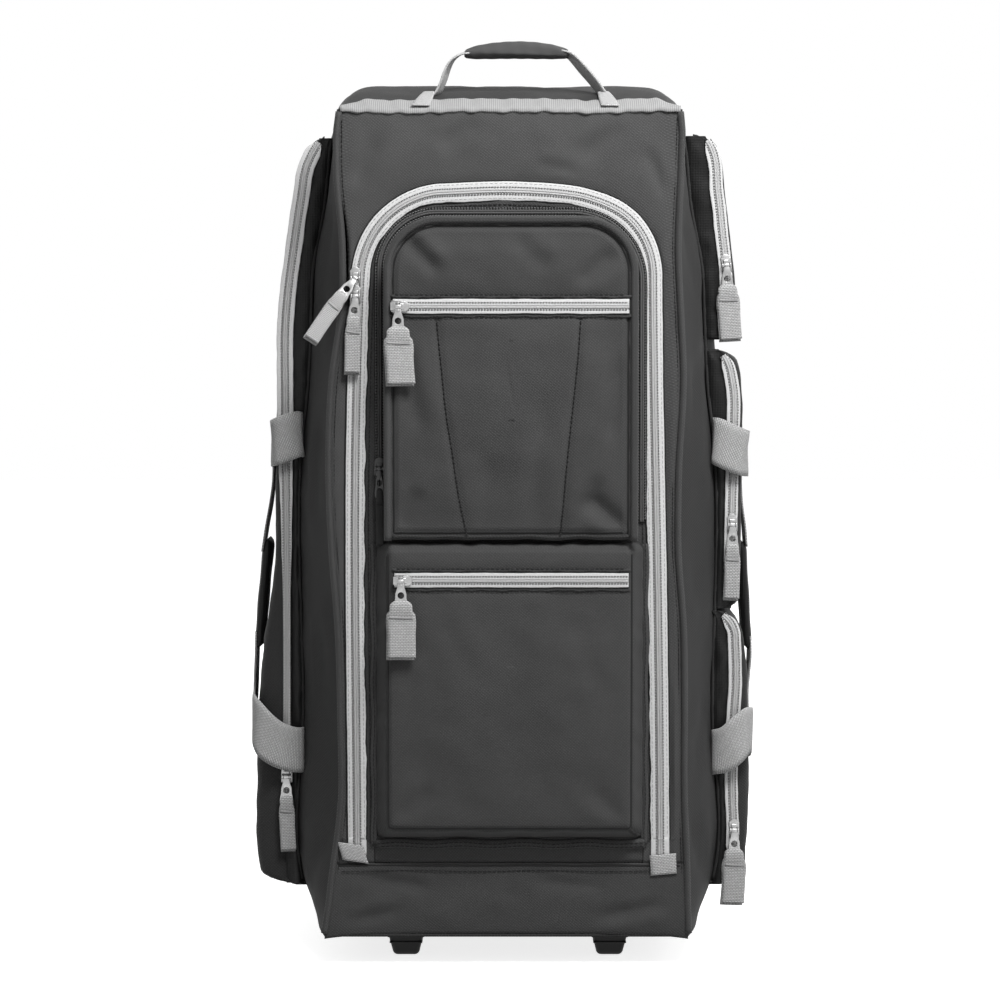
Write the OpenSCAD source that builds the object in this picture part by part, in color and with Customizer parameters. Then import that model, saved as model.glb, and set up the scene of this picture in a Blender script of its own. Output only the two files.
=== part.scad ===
// Upright rolling duffel: a soft body with a zipped front door, outside pockets,
// webbing handles, two rear wheels and a telescopic trolley. Millimetres, +Z up, front at -Y.

/* [Body] */
// Half width of the front face
front_half = 157; // [140:1:175]
// Half width at the seam where the side pockets start
seam_half = 187; // [180:1:192]
// Largest half width of the body
body_half = 197; // [194:1:204]
// Distance of the front face ahead of the origin
front_depth = 150; // [135:1:165]
// Distance of the pocket seam ahead of the origin
seam_depth = 72; // [66:1:80]
// Distance of the back face behind the origin
back_depth = 170; // [165:1:176]
// Height of the bottom of the fabric above the floor
base_z = 27; // [24:1:32]
// Height of the seam between the front and the top
front_top = 772; // [760:1:784]
// Height of the crown of the top panel
crown_top = 800; // [792:1:806]
// Thickness of the padded fabric panels
fabric_t = 3; // [2:0.5:4]
// Half width of the strip that makes the top and the bottom
strip_half = 150; // [140:1:154]

/* [Door] */
// Height of the seam that the door folds on
hinge_z = 94; // [88:1:100]
// Half width of the door's zip, on its centre line
zip_half = 136; // [130:1:140]
// Height of the top of the door's zip, on its centre line
zip_top = 697; // [680:1:715]
// Centre line radius of the zip's corners
zip_radius = 73; // [60:1:85]
// Width of the door's zip tape
tape_w = 17; // [14:1:20]
// Gap between the two halves of the zip
zip_gap = 0.4; // [0.3:0.1:0.8]
// Height of the webbing tabs that close the ends of the zip
end_tab_h = 18; // [14:1:24]
// Width of the webbing tabs that close the ends of the zip
end_tab_w = 27; // [22:1:32]

/* [Zips] */
// Thickness of a zip tape
tape_t = 1; // [0.8:0.1:1.4]
// Width of a zip's coil
coil_w = 6; // [5:0.5:7]
// Height of a zip's coil above its tape
coil_h = 2; // [1.5:0.1:2.5]
// Width of the tape of the pocket zips
pocket_tape_w = 13; // [11:0.5:16]
// Length of a slider along its zip
slider_len = 14; // [12:1:15]
// Width of a slider
slider_w = 10; // [9:0.5:11]
// Running gap between a slider and its coil
slider_gap = 0.3; // [0.2:0.1:0.5]
// Radius of the pin that a puller turns on
pin_r = 1; // [0.8:0.1:1.2]
// Running clearance round that pin
pin_gap = 0.1; // [0.05:0.05:0.1]
// Length of a metal puller
puller_len = 28; // [24:1:32]
// Length of a webbing pull tab
pull_tab_len = 45; // [38:1:50]
// Width of a webbing pull tab
pull_tab_w = 25; // [20:1:26]
// Width of the narrow pull tabs
narrow_tab_w = 14; // [10:1:15]

/* [Front pockets] */
// How far the front pockets stand off the door
pocket_bulge = 28; // [20:1:34]
// Left edge of the upper pocket
upper_left = 109; // [104:1:112]
// Right edge of the upper pocket
upper_right = 114; // [104:1:116]
// Bottom of the upper pocket
upper_bottom = 388; // [386:1:400]
// Top of the upper pocket
upper_top = 675; // [655:1:680]
// Height of the upper pocket's zip
upper_zip_z = 597; // [585:1:610]
// Left edge of the lower pocket
lower_left = 106; // [98:1:112]
// Right edge of the lower pocket
lower_right = 117; // [104:1:120]
// Bottom of the lower pocket
lower_bottom = 127; // [120:1:140]
// Top of the lower pocket
lower_top = 385; // [370:1:386]
// Height of the lower pocket's zip
lower_zip_z = 354; // [340:1:358]

/* [Side pockets] */
// How far the long left pocket stands out beside the body
left_out = 36; // [31:1:37]
// Height of the bottom of the left pocket
left_low = 60; // [50:1:70]
// Height of the top of the left pocket
left_top = 750; // [735:1:752]
// How far the right top pocket stands out beside the body
right_top_out = 14; // [12:1:17]
// How far the right middle pocket stands out beside the body
right_mid_out = 19; // [16:1:20]
// How far the right bottom pocket stands out beside the body
right_low_out = 27; // [23:1:28]
// Height of the bottom of the right bottom pocket
right_low_bottom = 60; // [50:1:70]
// Height of the top of the right bottom pocket
right_low_top = 314.5; // [305:0.5:315]
// Height of the bottom of the right middle pocket
right_mid_bottom = 317; // [317:1:325]
// Height of the top of the right middle pocket
right_mid_top = 555; // [545:1:560]
// Height of the bottom of the right top pocket
right_top_bottom = 567; // [564:1:575]
// Height of the top of the right top pocket
right_top_top = 753; // [745:1:755]
// How far the pockets' front wall stands ahead of the pocket seam
side_wall_step = 2; // [1:0.5:4]
// Length of the side pockets from front to back
side_pocket_len = 186; // [160:1:200]

/* [Handles] */
// Width of the webbing
webbing_w = 40; // [34:1:44]
// Thickness of the webbing
webbing_t = 3; // [2:0.5:3.5]
// Sideways place of the top handle
top_handle_x = 8; // [-10:1:12]
// Distance of the top handle ahead of the origin
top_handle_depth = 108; // [100:1:112]
// Half the distance between the feet of the top handle
top_handle_span = 77; // [70:1:84]
// Height of the top of the top handle above its seam
top_handle_rise = 47.6; // [42:0.2:54]
// Half length of the top handle's grip
top_grip_half = 47; // [38:1:48]
// Thickness of a side handle's padded grip
side_grip_t = 9; // [7:0.5:11]
// Length of a side handle's padded grip
side_grip_len = 100; // [90:1:110]
// Height of the bottom of the left handle's upper loop
left_loop_high = 455; // [445:1:470]
// Height of the bottom of the left handle's lower loop
left_loop_low = 175; // [165:1:185]
// Height of the bottom of the right handle's upper loop
right_loop_high = 446; // [436:1:456]
// Height of the bottom of the right handle's lower loop
right_loop_low = 162; // [152:1:172]

/* [Rolling gear] */
// Wheel radius
wheel_r = 35; // [30:1:37]
// Wheel width
wheel_w = 24; // [18:1:27]
// Distance of a wheel's middle plane in from the side of the back face
wheel_inset = 20; // [19:1:22]
// Distance of the wheels behind the origin
wheel_depth = 153; // [148:1:156]
// Radius of the wheel axles
axle_r = 3; // [2.5:0.5:4]
// Running clearance of a wheel on its axle
axle_gap = 0.1; // [0.05:0.05:0.1]
// Gap between a wheel and its housing
wheel_gap = 4; // [3:0.5:6]
// Wall of the wheel housings
housing_wall = 6; // [4:0.5:7]
// Sideways distance of a foot from the middle
foot_x = 93.5; // [80:0.5:100]
// Distance of the feet ahead of the origin
foot_depth = 97; // [85:1:110]
// Width of a foot on the floor
foot_tip = 22; // [16:1:28]
// Width of a foot under the bag
foot_root = 44; // [34:1:50]

/* [Trolley] */
// Sideways distance of the tubes from the middle
tube_x = 70; // [60:1:74]
// Width of an outer tube
tube_w = 22; // [18:1:24]
// Depth of an outer tube
tube_d = 14; // [12:1:16]
// Wall of the tubes
tube_wall = 1.2; // [1:0.1:1.6]
// Sliding clearance between the tubes
tube_gap = 0.3; // [0.2:0.1:0.5]
// Length that the trolley pulls out
trolley_travel = 380; // [300:5:400]
// Length of tube that stays in the sleeve when the trolley is out
tube_engage = 70; // [60:1:90]
// Thickness of the stiff board behind the compartment
board_t = 2.5; // [2:0.5:4]
// Half width of the bezel
bezel_half = 112; // [104:1:114]
// Half length of the trolley's grip
grip_half = 97; // [90:1:98]
// Height of the trolley's grip
grip_h = 19.7; // [17:0.1:21]
// Travel of the release button
button_travel = 3; // [2:0.5:4]

/* [Fit] */
// Gap between a hard piece and the cloth round it
seat_gap = 0.3; // [0.2:0.1:0.5]
// Gap left by the stitching between the front or back and the panels round them
seam_gap = 0.1; // [0.05:0.05:0.2]

/* [Hidden] */
$fn = 48;

far = 2000;
front_y = -front_depth;
seam_y = -seam_depth;
cut = 1;

// Outlines of the body, each drawn inside the outer one by the length i
back_taper = 34;
wheel_x = body_half - back_taper - wheel_inset;
shoulder_z = 560;
belly_z = 90;

function mirrored(half) = concat(half, [for (n = [len(half) - 1:-1:0]) [-half[n][0], half[n][1]]]);

function plan_points(i) = mirrored([
    [front_half - i, front_y + i], [seam_half - i, seam_y], [body_half - i, 0],
    [body_half - i, back_depth - 60], [body_half - 14 - i, back_depth - 15],
    [body_half - back_taper - i, back_depth - i]
]);

function face_points(i) = mirrored([
    [front_half + 8 - i, base_z + i], [body_half - 5 - i, base_z + 33], [body_half - i, belly_z],
    [body_half - i, shoulder_z], [body_half - 16 - i, front_top - 122],
    [front_half + 15 - i, front_top - 27], [front_half + 1 - i, front_top + 6],
    [strip_half + 4 - i, crown_top - i]
]);

function side_points(i) = [
    [front_y + i, base_z + i], [back_depth - i, base_z + i], [back_depth - i, crown_top - 15 - i],
    [back_depth - 20, crown_top - 3 - i], [back_depth - 60, crown_top - i], [0, crown_top - i],
    [front_y + 100, crown_top - 2 - i], [front_y + 40, front_top + 14 - i],
    [front_y + i, front_top - i]
];

// Height of the top panel's outside at a distance behind the front face, up to 40 mm back
function slope_z(back) = front_top + 14 * back / 40;

// Lay a drawing of X and Z out as a plate that spans from y0 to y1
module front_plate(y0, y1) {
    translate([0, y1, 0]) rotate([90, 0, 0]) linear_extrude(y1 - y0) children();
}

// Lay a drawing of Y and Z out as a plate that spans from x0 to x1
module side_plate(x0, x1) {
    translate([x0, 0, 0]) rotate([90, 0, 90]) linear_extrude(x1 - x0) children();
}

module block(low, high) {
    translate(low) cube(high - low);
}

module body_solid(i) {
    intersection() {
        linear_extrude(far) polygon(plan_points(i));
        front_plate(-far, far) polygon(face_points(i));
        side_plate(-far, far) polygon(side_points(i));
    }
}

module body_shell() {
    difference() {
        body_solid(0);
        body_solid(fabric_t);
        housing_rooms();
        bezel_room();
    }
}

module front_sheet() {
    intersection() {
        body_shell();
        block([-far, front_y - cut, 0], [far, front_y + fabric_t, far]);
    }
}

module ring_shell() {
    intersection() {
        body_shell();
        block([-far, front_y + fabric_t + seam_gap, 0], [far, back_depth - fabric_t - seam_gap, far]);
    }
}

// A rectangle with a round-cornered top
module arch(half, low, top, r) {
    translate([-half, low]) square([2 * half, top - r - low]);
    translate([r - half, top - r - cut]) square([2 * (half - r), r + cut]);
    for (s = [-1, 1]) translate([s * (half - r), top - r]) circle(r);
}

// The zip line, moved outwards by the length d
module zip_arch(d, low) {
    arch(zip_half + d, low, zip_top + d, zip_radius + d);
}

door_low = hinge_z + zip_gap;
notch_z = hinge_z + end_tab_h + 4;
notch_half = zip_half - end_tab_w / 2 + 1.5;

// The outline of the door, grown by the length d
module door_outline(d) {
    zip_arch(d, notch_z - d);
    translate([d - notch_half - 2 * d, door_low - d]) square([2 * (notch_half + d), notch_z]);
}

/* ---- body panels ---- */

module back_panel() {
    color("#2a2a2a") intersection() {
        body_shell();
        block([-far, back_depth - fabric_t, 0], [far, far, far]);
    }
}

board_y1 = back_depth - fabric_t - tube_d;
board_y0 = board_y1 - board_t;
module back_board() {
    color("#8a8a86") block([-strip_half + 10, board_y0, housing_top + 3],
                           [strip_half - 10, board_y1, bezel_low - 1]);
}

module side_panel(side) {
    intersection() {
        ring_shell();
        if (side < 0) block([-far, -far, 0], [-strip_half, far, far]);
        if (side > 0) block([strip_half, -far, 0], [far, far, far]);
    }
}

module strip_panel(low, high) {
    intersection() {
        ring_shell();
        block([-strip_half, -far, low], [strip_half, far, high]);
    }
}

module left_side_panel() {
    color("#272727") side_panel(-1);
}

module right_side_panel() {
    color("#373737") side_panel(1);
}

module top_panel() {
    color("#333333") strip_panel(shoulder_z, far);
}

module bottom_panel() {
    color("#222222") strip_panel(0, belly_z);
}

module front_surround() {
    color("#4a4a4a") difference() {
        front_sheet();
        block([-far, -far, 0], [far, far, hinge_z]);
        front_plate(-far, far) door_outline(zip_gap);
    }
}

module front_bottom_band() {
    color("#3d3d3d") intersection() {
        front_sheet();
        block([-far, -far, 0], [far, far, hinge_z]);
    }
}

piping_r = 2.5;
piping_off = (piping_r + 0.1) * sqrt(0.5);
module front_piping() {
    color("#303030") for (s = [-1, 1])
        translate([s * (front_half + piping_off), front_y - piping_off, base_z + 4])
            cylinder(r = piping_r, h = front_top - base_z - 8);
}

module top_webbing() {
    n = [-14, 40] / norm([14, 40]) * webbing_t * 0.7;
    back = webbing_w - 2;
    color("#d3d3d3") side_plate(-front_half + 2, front_half - 2) polygon([
        [front_y, front_top], [front_y + back, slope_z(back)],
        [front_y + back, slope_z(back)] + n, [front_y, front_top] + n
    ]);
}

/* ---- the door's zip ---- */

tape_y = front_y - tape_t;
coil_y = tape_y - coil_h;

module zip_band(d0, d1, low) {
    difference() {
        zip_arch(max(d0, d1), low);
        zip_arch(min(d0, d1), low - cut);
    }
}

module main_zip_frame_half() {
    color("#c4c4c4") {
        front_plate(tape_y, front_y) zip_band(zip_gap / 2, tape_w / 2, notch_z);
        front_plate(coil_y, tape_y) zip_band(zip_gap / 2, coil_w / 2, notch_z);
    }
}

module main_zip_door_half() {
    color("#c4c4c4") {
        front_plate(tape_y, front_y) zip_band(-zip_gap / 2, -tape_w / 2, notch_z);
        front_plate(coil_y, tape_y) zip_band(-zip_gap / 2, -coil_w / 2, notch_z);
    }
}

module zip_end_tabs() {
    tab_low = hinge_z + 2;
    color("#9a9a9a") for (s = [-1, 1])
        translate([s * (zip_half + 3.5) - end_tab_w / 2, front_y - webbing_t, tab_low])
            cube([end_tab_w, webbing_t, end_tab_h]);
}

/* ---- rolling gear ---- */

housing_half = wheel_w / 2 + 5 + housing_wall;
housing_y0 = wheel_depth - wheel_r - wheel_gap - housing_wall;
housing_y1 = back_depth + 4;
housing_low = wheel_r - 14;
housing_top = wheel_r * 2 + wheel_gap + housing_wall + 9;

module housing_rooms() {
    for (s = [-1, 1]) translate([s * wheel_x, 0, 0])
        block([-housing_half - seat_gap, housing_y0 - seat_gap, -cut],
              [housing_half + seat_gap, far, housing_top + seat_gap]);
}

module wheel_well() {
    well_half = housing_half - housing_wall;
    translate([-well_half, wheel_depth, wheel_r]) rotate([0, 90, 0])
        cylinder(r = wheel_r + wheel_gap, h = 2 * well_half);
    block([-well_half, wheel_depth - wheel_r - wheel_gap, -cut], [well_half, far, wheel_r]);
    block([-well_half, wheel_depth, -cut], [well_half, far, 2 * wheel_r + wheel_gap - 12]);
}

module wheel_housings() {
    color("#1c1c1c") for (s = [-1, 1]) translate([s * wheel_x, 0, 0]) difference() {
        block([-housing_half, housing_y0, housing_low], [housing_half, housing_y1, housing_top]);
        wheel_well();
        translate([-far, wheel_depth, wheel_r]) rotate([0, 90, 0]) cylinder(r = axle_r, h = 2 * far);
    }
}

module wheel_axles() {
    color("#a8a8a8") for (s = [-1, 1]) translate([s * wheel_x - housing_half, wheel_depth, wheel_r])
        rotate([0, 90, 0]) cylinder(r = axle_r, h = 2 * housing_half);
}

module wheel(side) {
    color("#1a1a1a") translate([side * wheel_x, wheel_depth, wheel_r]) rotate([0, 90, 0])
        rotate_extrude() difference() {
            translate([axle_r + axle_gap, -wheel_w / 2]) square([wheel_r - axle_r - axle_gap, wheel_w]);
            for (s = [-1, 1]) translate([wheel_r / 2 - 3, s * wheel_w / 2 - 4])
                square([wheel_r / 2 - 4, 8]);
        }
}

module wheel_left() {
    wheel(-1);
}

module wheel_right() {
    wheel(1);
}

module foot_profile() {
    polygon([[-foot_tip / 2, 0], [foot_tip / 2, 0], [foot_root / 2, base_z], [-foot_root / 2, base_z]]);
}

module front_feet() {
    color("#161616") for (s = [-1, 1]) translate([s * foot_x, -foot_depth, 0]) intersection() {
        front_plate(-foot_root, foot_root) foot_profile();
        side_plate(-foot_root, foot_root) foot_profile();
    }
}

floor_z = base_z + fabric_t;
module base_board() {
    inside_half = wheel_x - housing_half - 2;
    color("#7a7a76") {
        block([-strip_half, front_y + fabric_t + 2, floor_z],
              [strip_half, housing_y0 - 2, floor_z + board_t]);
        block([-inside_half, housing_y0 - 2, floor_z],
              [inside_half, back_depth - fabric_t, floor_z + board_t]);
    }
}

/* ---- trolley ---- */

tube_y = back_depth - fabric_t - tube_d / 2;
sleeve_low = floor_z + board_t + 6;
bezel_low = crown_top - 34;
sleeve_top = bezel_low + 10;
bezel_top = crown_top + 3;
bezel_y0 = tube_y - tube_d / 2 - 21;
bezel_y1 = back_depth + 3;
recess_z = bezel_low + 20;
grip_y0 = bezel_y0 + 8.4;
grip_y1 = bezel_y1 - 5.4;
inner_w = tube_w - 2 * tube_wall - 2 * tube_gap;
inner_d = tube_d - 2 * tube_wall - 2 * tube_gap;
inner_top = recess_z + 8;
inner_low = sleeve_top - trolley_travel - tube_engage;
button_half = 16;
button_depth = 12;

module tube_bar(w, d, low, high) {
    for (s = [-1, 1]) translate([s * tube_x - w / 2, tube_y - d / 2, low]) cube([w, d, high - low]);
}

module bezel_room() {
    block([-bezel_half - seat_gap, bezel_y0 - seat_gap, bezel_low - seat_gap],
          [bezel_half + seat_gap, far, far]);
}

module trolley_bezel() {
    color("#1e1e1e") difference() {
        block([-bezel_half, bezel_y0, bezel_low], [bezel_half, bezel_y1, bezel_top]);
        block([-grip_half - 0.5, grip_y0 - 0.4, recess_z], [grip_half + 0.5, grip_y1 + 0.4, far]);
        tube_bar(tube_w, tube_d, bezel_low - cut, sleeve_top);
        tube_bar(inner_w + 2 * tube_gap, inner_d + 2 * tube_gap, bezel_low, far);
    }
}

module trolley_outer_tubes() {
    color("#9b9d9f") difference() {
        tube_bar(tube_w, tube_d, sleeve_low, sleeve_top);
        tube_bar(tube_w - 2 * tube_wall, tube_d - 2 * tube_wall, sleeve_low - cut, sleeve_top + cut);
    }
}

module trolley_bracket() {
    color("#1e1e1e") difference() {
        block([-tube_x - 22, board_y0, floor_z + board_t],
              [tube_x + 22, back_depth - fabric_t, sleeve_low + 24]);
        tube_bar(tube_w, tube_d, sleeve_low, far);
    }
}

module trolley_inner_tubes() {
    color("#b4b6b8") difference() {
        tube_bar(inner_w, inner_d, inner_low, inner_top);
        tube_bar(inner_w - 2 * tube_wall, inner_d - 2 * tube_wall, inner_low - cut, inner_top + cut);
    }
}

grip_low = recess_z + seat_gap;
grip_top = grip_low + grip_h;
grip_mid_y = (grip_y0 + grip_y1) / 2;
button_low = grip_top - 9;
module trolley_grip() {
    color("#202020") difference() {
        front_plate(grip_y0, grip_y1) arch(grip_half, grip_low, grip_top, 8);
        tube_bar(inner_w, inner_d, grip_low - cut, inner_top);
        block([-button_half - 0.3, grip_mid_y - button_depth / 2 - 0.3, button_low - button_travel - 0.5],
              [button_half + 0.3, grip_mid_y + button_depth / 2 + 0.3, far]);
    }
}

module trolley_button() {
    color("#8c8c8c") block([-button_half, grip_mid_y - button_depth / 2, button_low],
                           [button_half, grip_mid_y + button_depth / 2, grip_top + button_travel - 0.5]);
}

/* ---- front pockets ---- */

bulge_y = front_y - pocket_bulge;

// A bellied pocket on the door, between two heights and with flat room for its zip
module door_pocket(left, right, low, top, r) {
    mid = (right - left) / 2;
    half = (right + left) / 2;
    translate([mid, 0, 0]) intersection() {
        front_plate(-far, far) arch(half, low, top, r);
        side_plate(-far, far) polygon([
            [front_y, low], [front_y, top], [bulge_y + 12, top], [bulge_y, top - 22],
            [bulge_y, low + 12], [bulge_y + 5, low]
        ]);
        linear_extrude(far) polygon([
            [-half, front_y], [-half, bulge_y + 7], [7 - half, bulge_y],
            [half - 7, bulge_y], [half, bulge_y + 7], [half, front_y]
        ]);
    }
}

module upper_pocket() {
    color("#525252") door_pocket(upper_left, upper_right, upper_bottom, upper_top, 48);
}

module lower_pocket() {
    color("#434343") door_pocket(lower_left, lower_right, lower_bottom, lower_top, 3);
}

module zip_row(left, right, z) {
    block([-left, bulge_y - tape_t, z - pocket_tape_w / 2], [right, bulge_y, z + pocket_tape_w / 2]);
    block([-left, bulge_y - tape_t - coil_h, z - coil_w / 2], [right, bulge_y - tape_t, z + coil_w / 2]);
}

module door_pocket_zips() {
    color("#d0d0d0") {
        zip_row(upper_left - 9, upper_right - 8, upper_zip_z);
        zip_row(lower_left - 8, lower_right - 9, lower_zip_z);
    }
}

organiser_gap = 2.8;
organiser_low = upper_bottom + 14;
organiser_x = -upper_left - organiser_gap - coil_w / 2;
module organiser_zip() {
    mid = (upper_right - upper_left) / 2;
    half = (upper_right + upper_left) / 2 + organiser_gap;
    color("#1b1b1b") translate([mid, 0, 0]) front_plate(front_y - tape_t - coil_h, front_y)
        difference() {
            arch(half + coil_w, organiser_low, upper_top + organiser_gap + coil_w, 48 + coil_w);
            arch(half, organiser_low - cut, upper_top + organiser_gap, 48);
        }
}

module door_panel() {
    color("#2b2b2b") front_plate(front_y, front_y + fabric_t) door_outline(-zip_gap / 2);
}

/* ---- side pockets ---- */

side_wall_y = seam_y - side_wall_step;
side_back_y = side_wall_y + side_pocket_len;
left_reach = body_half + left_out;
right_top_reach = body_half + right_top_out;
right_mid_reach = body_half + right_mid_out;
right_low_reach = body_half + right_low_out;

// A pocket on one side of the body: an outline of X and Z, hollowed against the body
module side_pocket(side, outline) {
    difference() {
        intersection() {
            front_plate(side_wall_y, side_back_y) scale([side, 1]) polygon(outline);
            linear_extrude(far) scale([side, 1]) polygon([
                [0, side_wall_y], [left_reach + 7, side_wall_y], [left_reach + 7, side_back_y - 52],
                [body_half + 3, side_back_y], [0, side_back_y]
            ]);
        }
        body_solid(0);
    }
}

module left_pocket() {
    color("#2d2d2d") side_pocket(-1, [
        [100, left_low], [left_reach - 11, left_low], [left_reach, left_low + 24],
        [left_reach, left_low + 140], [left_reach - 7, left_low + 200],
        [left_reach - 19, left_low + 290], [left_reach - 21, left_top - 190],
        [left_reach - 28, left_top - 100], [left_reach - 37, left_top - 15],
        [left_reach - 45, left_top], [100, left_top]
    ]);
}

module right_top_pocket() {
    color("#333333") side_pocket(1, [
        [100, right_top_bottom], [right_top_reach - 6, right_top_bottom],
        [right_top_reach, right_top_bottom + 13], [right_top_reach, right_top_bottom + 33],
        [right_top_reach - 14, right_top_top - 8], [right_top_reach - 21, right_top_top],
        [100, right_top_top]
    ]);
}

module right_middle_pocket() {
    color("#333333") side_pocket(1, [
        [100, right_mid_bottom], [right_mid_reach - 6, right_mid_bottom],
        [right_mid_reach, right_mid_bottom + 13], [right_mid_reach, right_mid_top - 15],
        [right_mid_reach - 8, right_mid_top], [100, right_mid_top]
    ]);
}

module right_bottom_pocket() {
    color("#333333") side_pocket(1, [
        [100, right_low_bottom], [right_low_reach - 8, right_low_bottom],
        [right_low_reach, right_low_bottom + 15], [right_low_reach, right_low_top - 114],
        [right_low_reach - 2, right_low_top - 24], [right_low_reach - 12, right_low_top],
        [100, right_low_top]
    ]);
}

// How far a zip that runs from low to high turns from upright
function zip_turn(low, high) = atan2(high[0] - low[0], high[1] - low[1]);

// A zip on the front wall of a side pocket, from its low end to its high end
module wall_zip(low, high) {
    run = high - low;
    translate([low[0], 0, low[1]]) rotate([0, zip_turn(low, high), 0]) {
        block([-pocket_tape_w / 2, side_wall_y - tape_t, 0], [pocket_tape_w / 2, side_wall_y, norm(run)]);
        block([-coil_w / 2, side_wall_y - tape_t - coil_h, 0],
              [coil_w / 2, side_wall_y - tape_t, norm(run)]);
    }
}

left_zip_x = 28 - left_reach;
left_zip_bend = left_top - 150;
module left_pocket_zip() {
    color("#bdbdbd") {
        wall_zip([left_zip_x, left_low + 90], [left_zip_x, left_zip_bend]);
        wall_zip([left_zip_x + 1.5, left_zip_bend + 6], [left_zip_x + 22, left_top - 12]);
    }
}

right_top_low = [right_top_reach - 10.5, right_top_bottom + 67];
right_top_high = [right_top_reach - 22, right_top_top - 11];
right_mid_x = right_mid_reach - 9;
right_low_x = right_low_reach - 14;
module right_pocket_zips() {
    color("#c8c8c8") {
        wall_zip(right_top_low - 0.1 * (right_top_high - right_top_low), right_top_high);
        wall_zip([right_mid_x, right_mid_bottom + 67], [right_mid_x, right_mid_top - 10]);
        wall_zip([right_low_x, right_low_bottom + 40], [right_low_x, right_low_top - 14]);
    }
}

/* ---- sliders and pulls ---- */

plate_off = tape_t + coil_h + slider_gap;
plate_t = 1.9;
axis_off = plate_off + plate_t + 2.8;
knuckle_r = 2.2;
ear_gap = 0.3;
knuckle_half = 2.5;
skirt_off = tape_t + slider_gap;

// A slider on a surface that faces the front, at the origin. along is "x" or "z".
module slider(along) {
    turn = along == "x" ? 90 : 0;
    skirt_in = coil_w / 2 + slider_gap + slider_len * slider_len / zip_radius / 8;
    rotate([0, turn, 0]) {
        block([-slider_w / 2, -plate_off - plate_t, -slider_len / 2],
              [slider_w / 2, -plate_off, slider_len / 2]);
        for (s = [-1, 1]) scale([s, 1, 1])
            block([skirt_in, -plate_off, -slider_len / 2], [slider_w / 2, -skirt_off, slider_len / 2]);
    }
    for (s = [-1, 1]) translate([s * (knuckle_half + ear_gap), 0, 0]) scale([s, 1, 1]) {
        rotate([0, 90, 0]) translate([0, -axis_off, 0]) cylinder(r = knuckle_r, h = 1.4);
        block([0, -axis_off, -knuckle_r], [1.4, -plate_off - plate_t, knuckle_r]);
    }
    translate([-knuckle_half - ear_gap, -axis_off, 0]) rotate([0, 90, 0])
        cylinder(r = pin_r, h = 2 * (knuckle_half + ear_gap));
}

shank_len = 4;
puller_t = 1.8;
puller_half = 5.5;
tab_t = webbing_t + 0.5;

// A puller with its webbing tab, hanging from its pin at the origin and leaning sideways
module pull(tab_w, lean) {
    hang = puller_len - shank_len;
    difference() {
        union() {
            translate([-knuckle_half, 0, 0]) rotate([0, 90, 0])
                cylinder(r = knuckle_r, h = 2 * knuckle_half);
            block([-knuckle_half, -puller_t / 2, -shank_len], [knuckle_half, puller_t / 2, 0]);
        }
        translate([-far, 0, 0]) rotate([0, 90, 0]) cylinder(r = pin_r + pin_gap, h = 2 * far);
    }
    translate([0, 0, -shank_len]) rotate([0, lean, 0]) {
        front_plate(-puller_t / 2, puller_t / 2) difference() {
            polygon([
                [-knuckle_half, 0.8], [knuckle_half, 0.8], [puller_half, 6 - hang], [puller_half, -hang],
                [-puller_half, -hang], [-puller_half, 6 - hang]
            ]);
            translate([0, 9 - hang]) circle(2.4);
        }
        block([-tab_w / 2, -tab_t / 2, -hang - pull_tab_len + 3], [tab_w / 2, tab_t / 2, 3 - hang]);
    }
}

module place_slider(x, surface_y, z, along, turn = 0) {
    color("#c9c9c9") translate([x, surface_y, z]) rotate([0, turn, 0]) slider(along);
}

module place_pull(x, surface_y, z, tab_w, lean, lift, turn = 0) {
    color("#9b9b9b") translate([x, surface_y - axis_off, z]) rotate([-lift, turn, 0])
        pull(tab_w, lean);
}

corner_z = zip_top - zip_radius - 2;
leg_z = corner_z - slider_len - 2;
upper_slider_x = 20 - upper_left - 8;
lower_slider_x = 19 - lower_left - 8;
organiser_z = 452;
left_slider_z = left_low + 101;
right_top_turn = zip_turn(right_top_low, right_top_high);
right_mid_z = right_mid_bottom + 78;
right_low_z = right_low_bottom + 51;

module corner_slider() {
    place_slider(-zip_half, front_y, corner_z, "z");
}

module leg_slider() {
    place_slider(-zip_half, front_y, leg_z, "z");
}

module upper_pocket_slider() {
    place_slider(upper_slider_x, bulge_y, upper_zip_z, "x");
}

module organiser_slider() {
    place_slider(organiser_x, front_y, organiser_z, "z");
}

module lower_pocket_slider() {
    place_slider(lower_slider_x, bulge_y, lower_zip_z, "x");
}

module left_pocket_slider() {
    place_slider(left_zip_x, side_wall_y, left_slider_z, "z");
}

module right_top_slider() {
    place_slider(right_top_low[0], side_wall_y, right_top_low[1], "z", right_top_turn);
}

module right_middle_slider() {
    place_slider(right_mid_x, side_wall_y, right_mid_z, "z");
}

module right_bottom_slider() {
    place_slider(right_low_x, side_wall_y, right_low_z, "z");
}

module corner_pull() {
    place_pull(-zip_half, front_y, corner_z, narrow_tab_w, 36, 15);
}

module leg_pull() {
    place_pull(-zip_half, front_y, leg_z, narrow_tab_w, 4, 0);
}

module upper_pocket_pull() {
    place_pull(upper_slider_x, bulge_y, upper_zip_z, pull_tab_w, 0, 0);
}

module organiser_pull() {
    place_pull(organiser_x, front_y, organiser_z, 7, 0, 0);
}

module lower_pocket_pull() {
    place_pull(lower_slider_x, bulge_y, lower_zip_z, pull_tab_w, 0, 0);
}

module left_pocket_pull() {
    place_pull(left_zip_x, side_wall_y, left_slider_z, narrow_tab_w, 0, 0);
}

module right_top_pull() {
    place_pull(right_top_low[0], side_wall_y, right_top_low[1], pull_tab_w - 5,
               -right_top_turn - 2.5, 0, right_top_turn);
}

module right_middle_pull() {
    place_pull(right_mid_x, side_wall_y, right_mid_z, narrow_tab_w, 0, 0);
}

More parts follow.
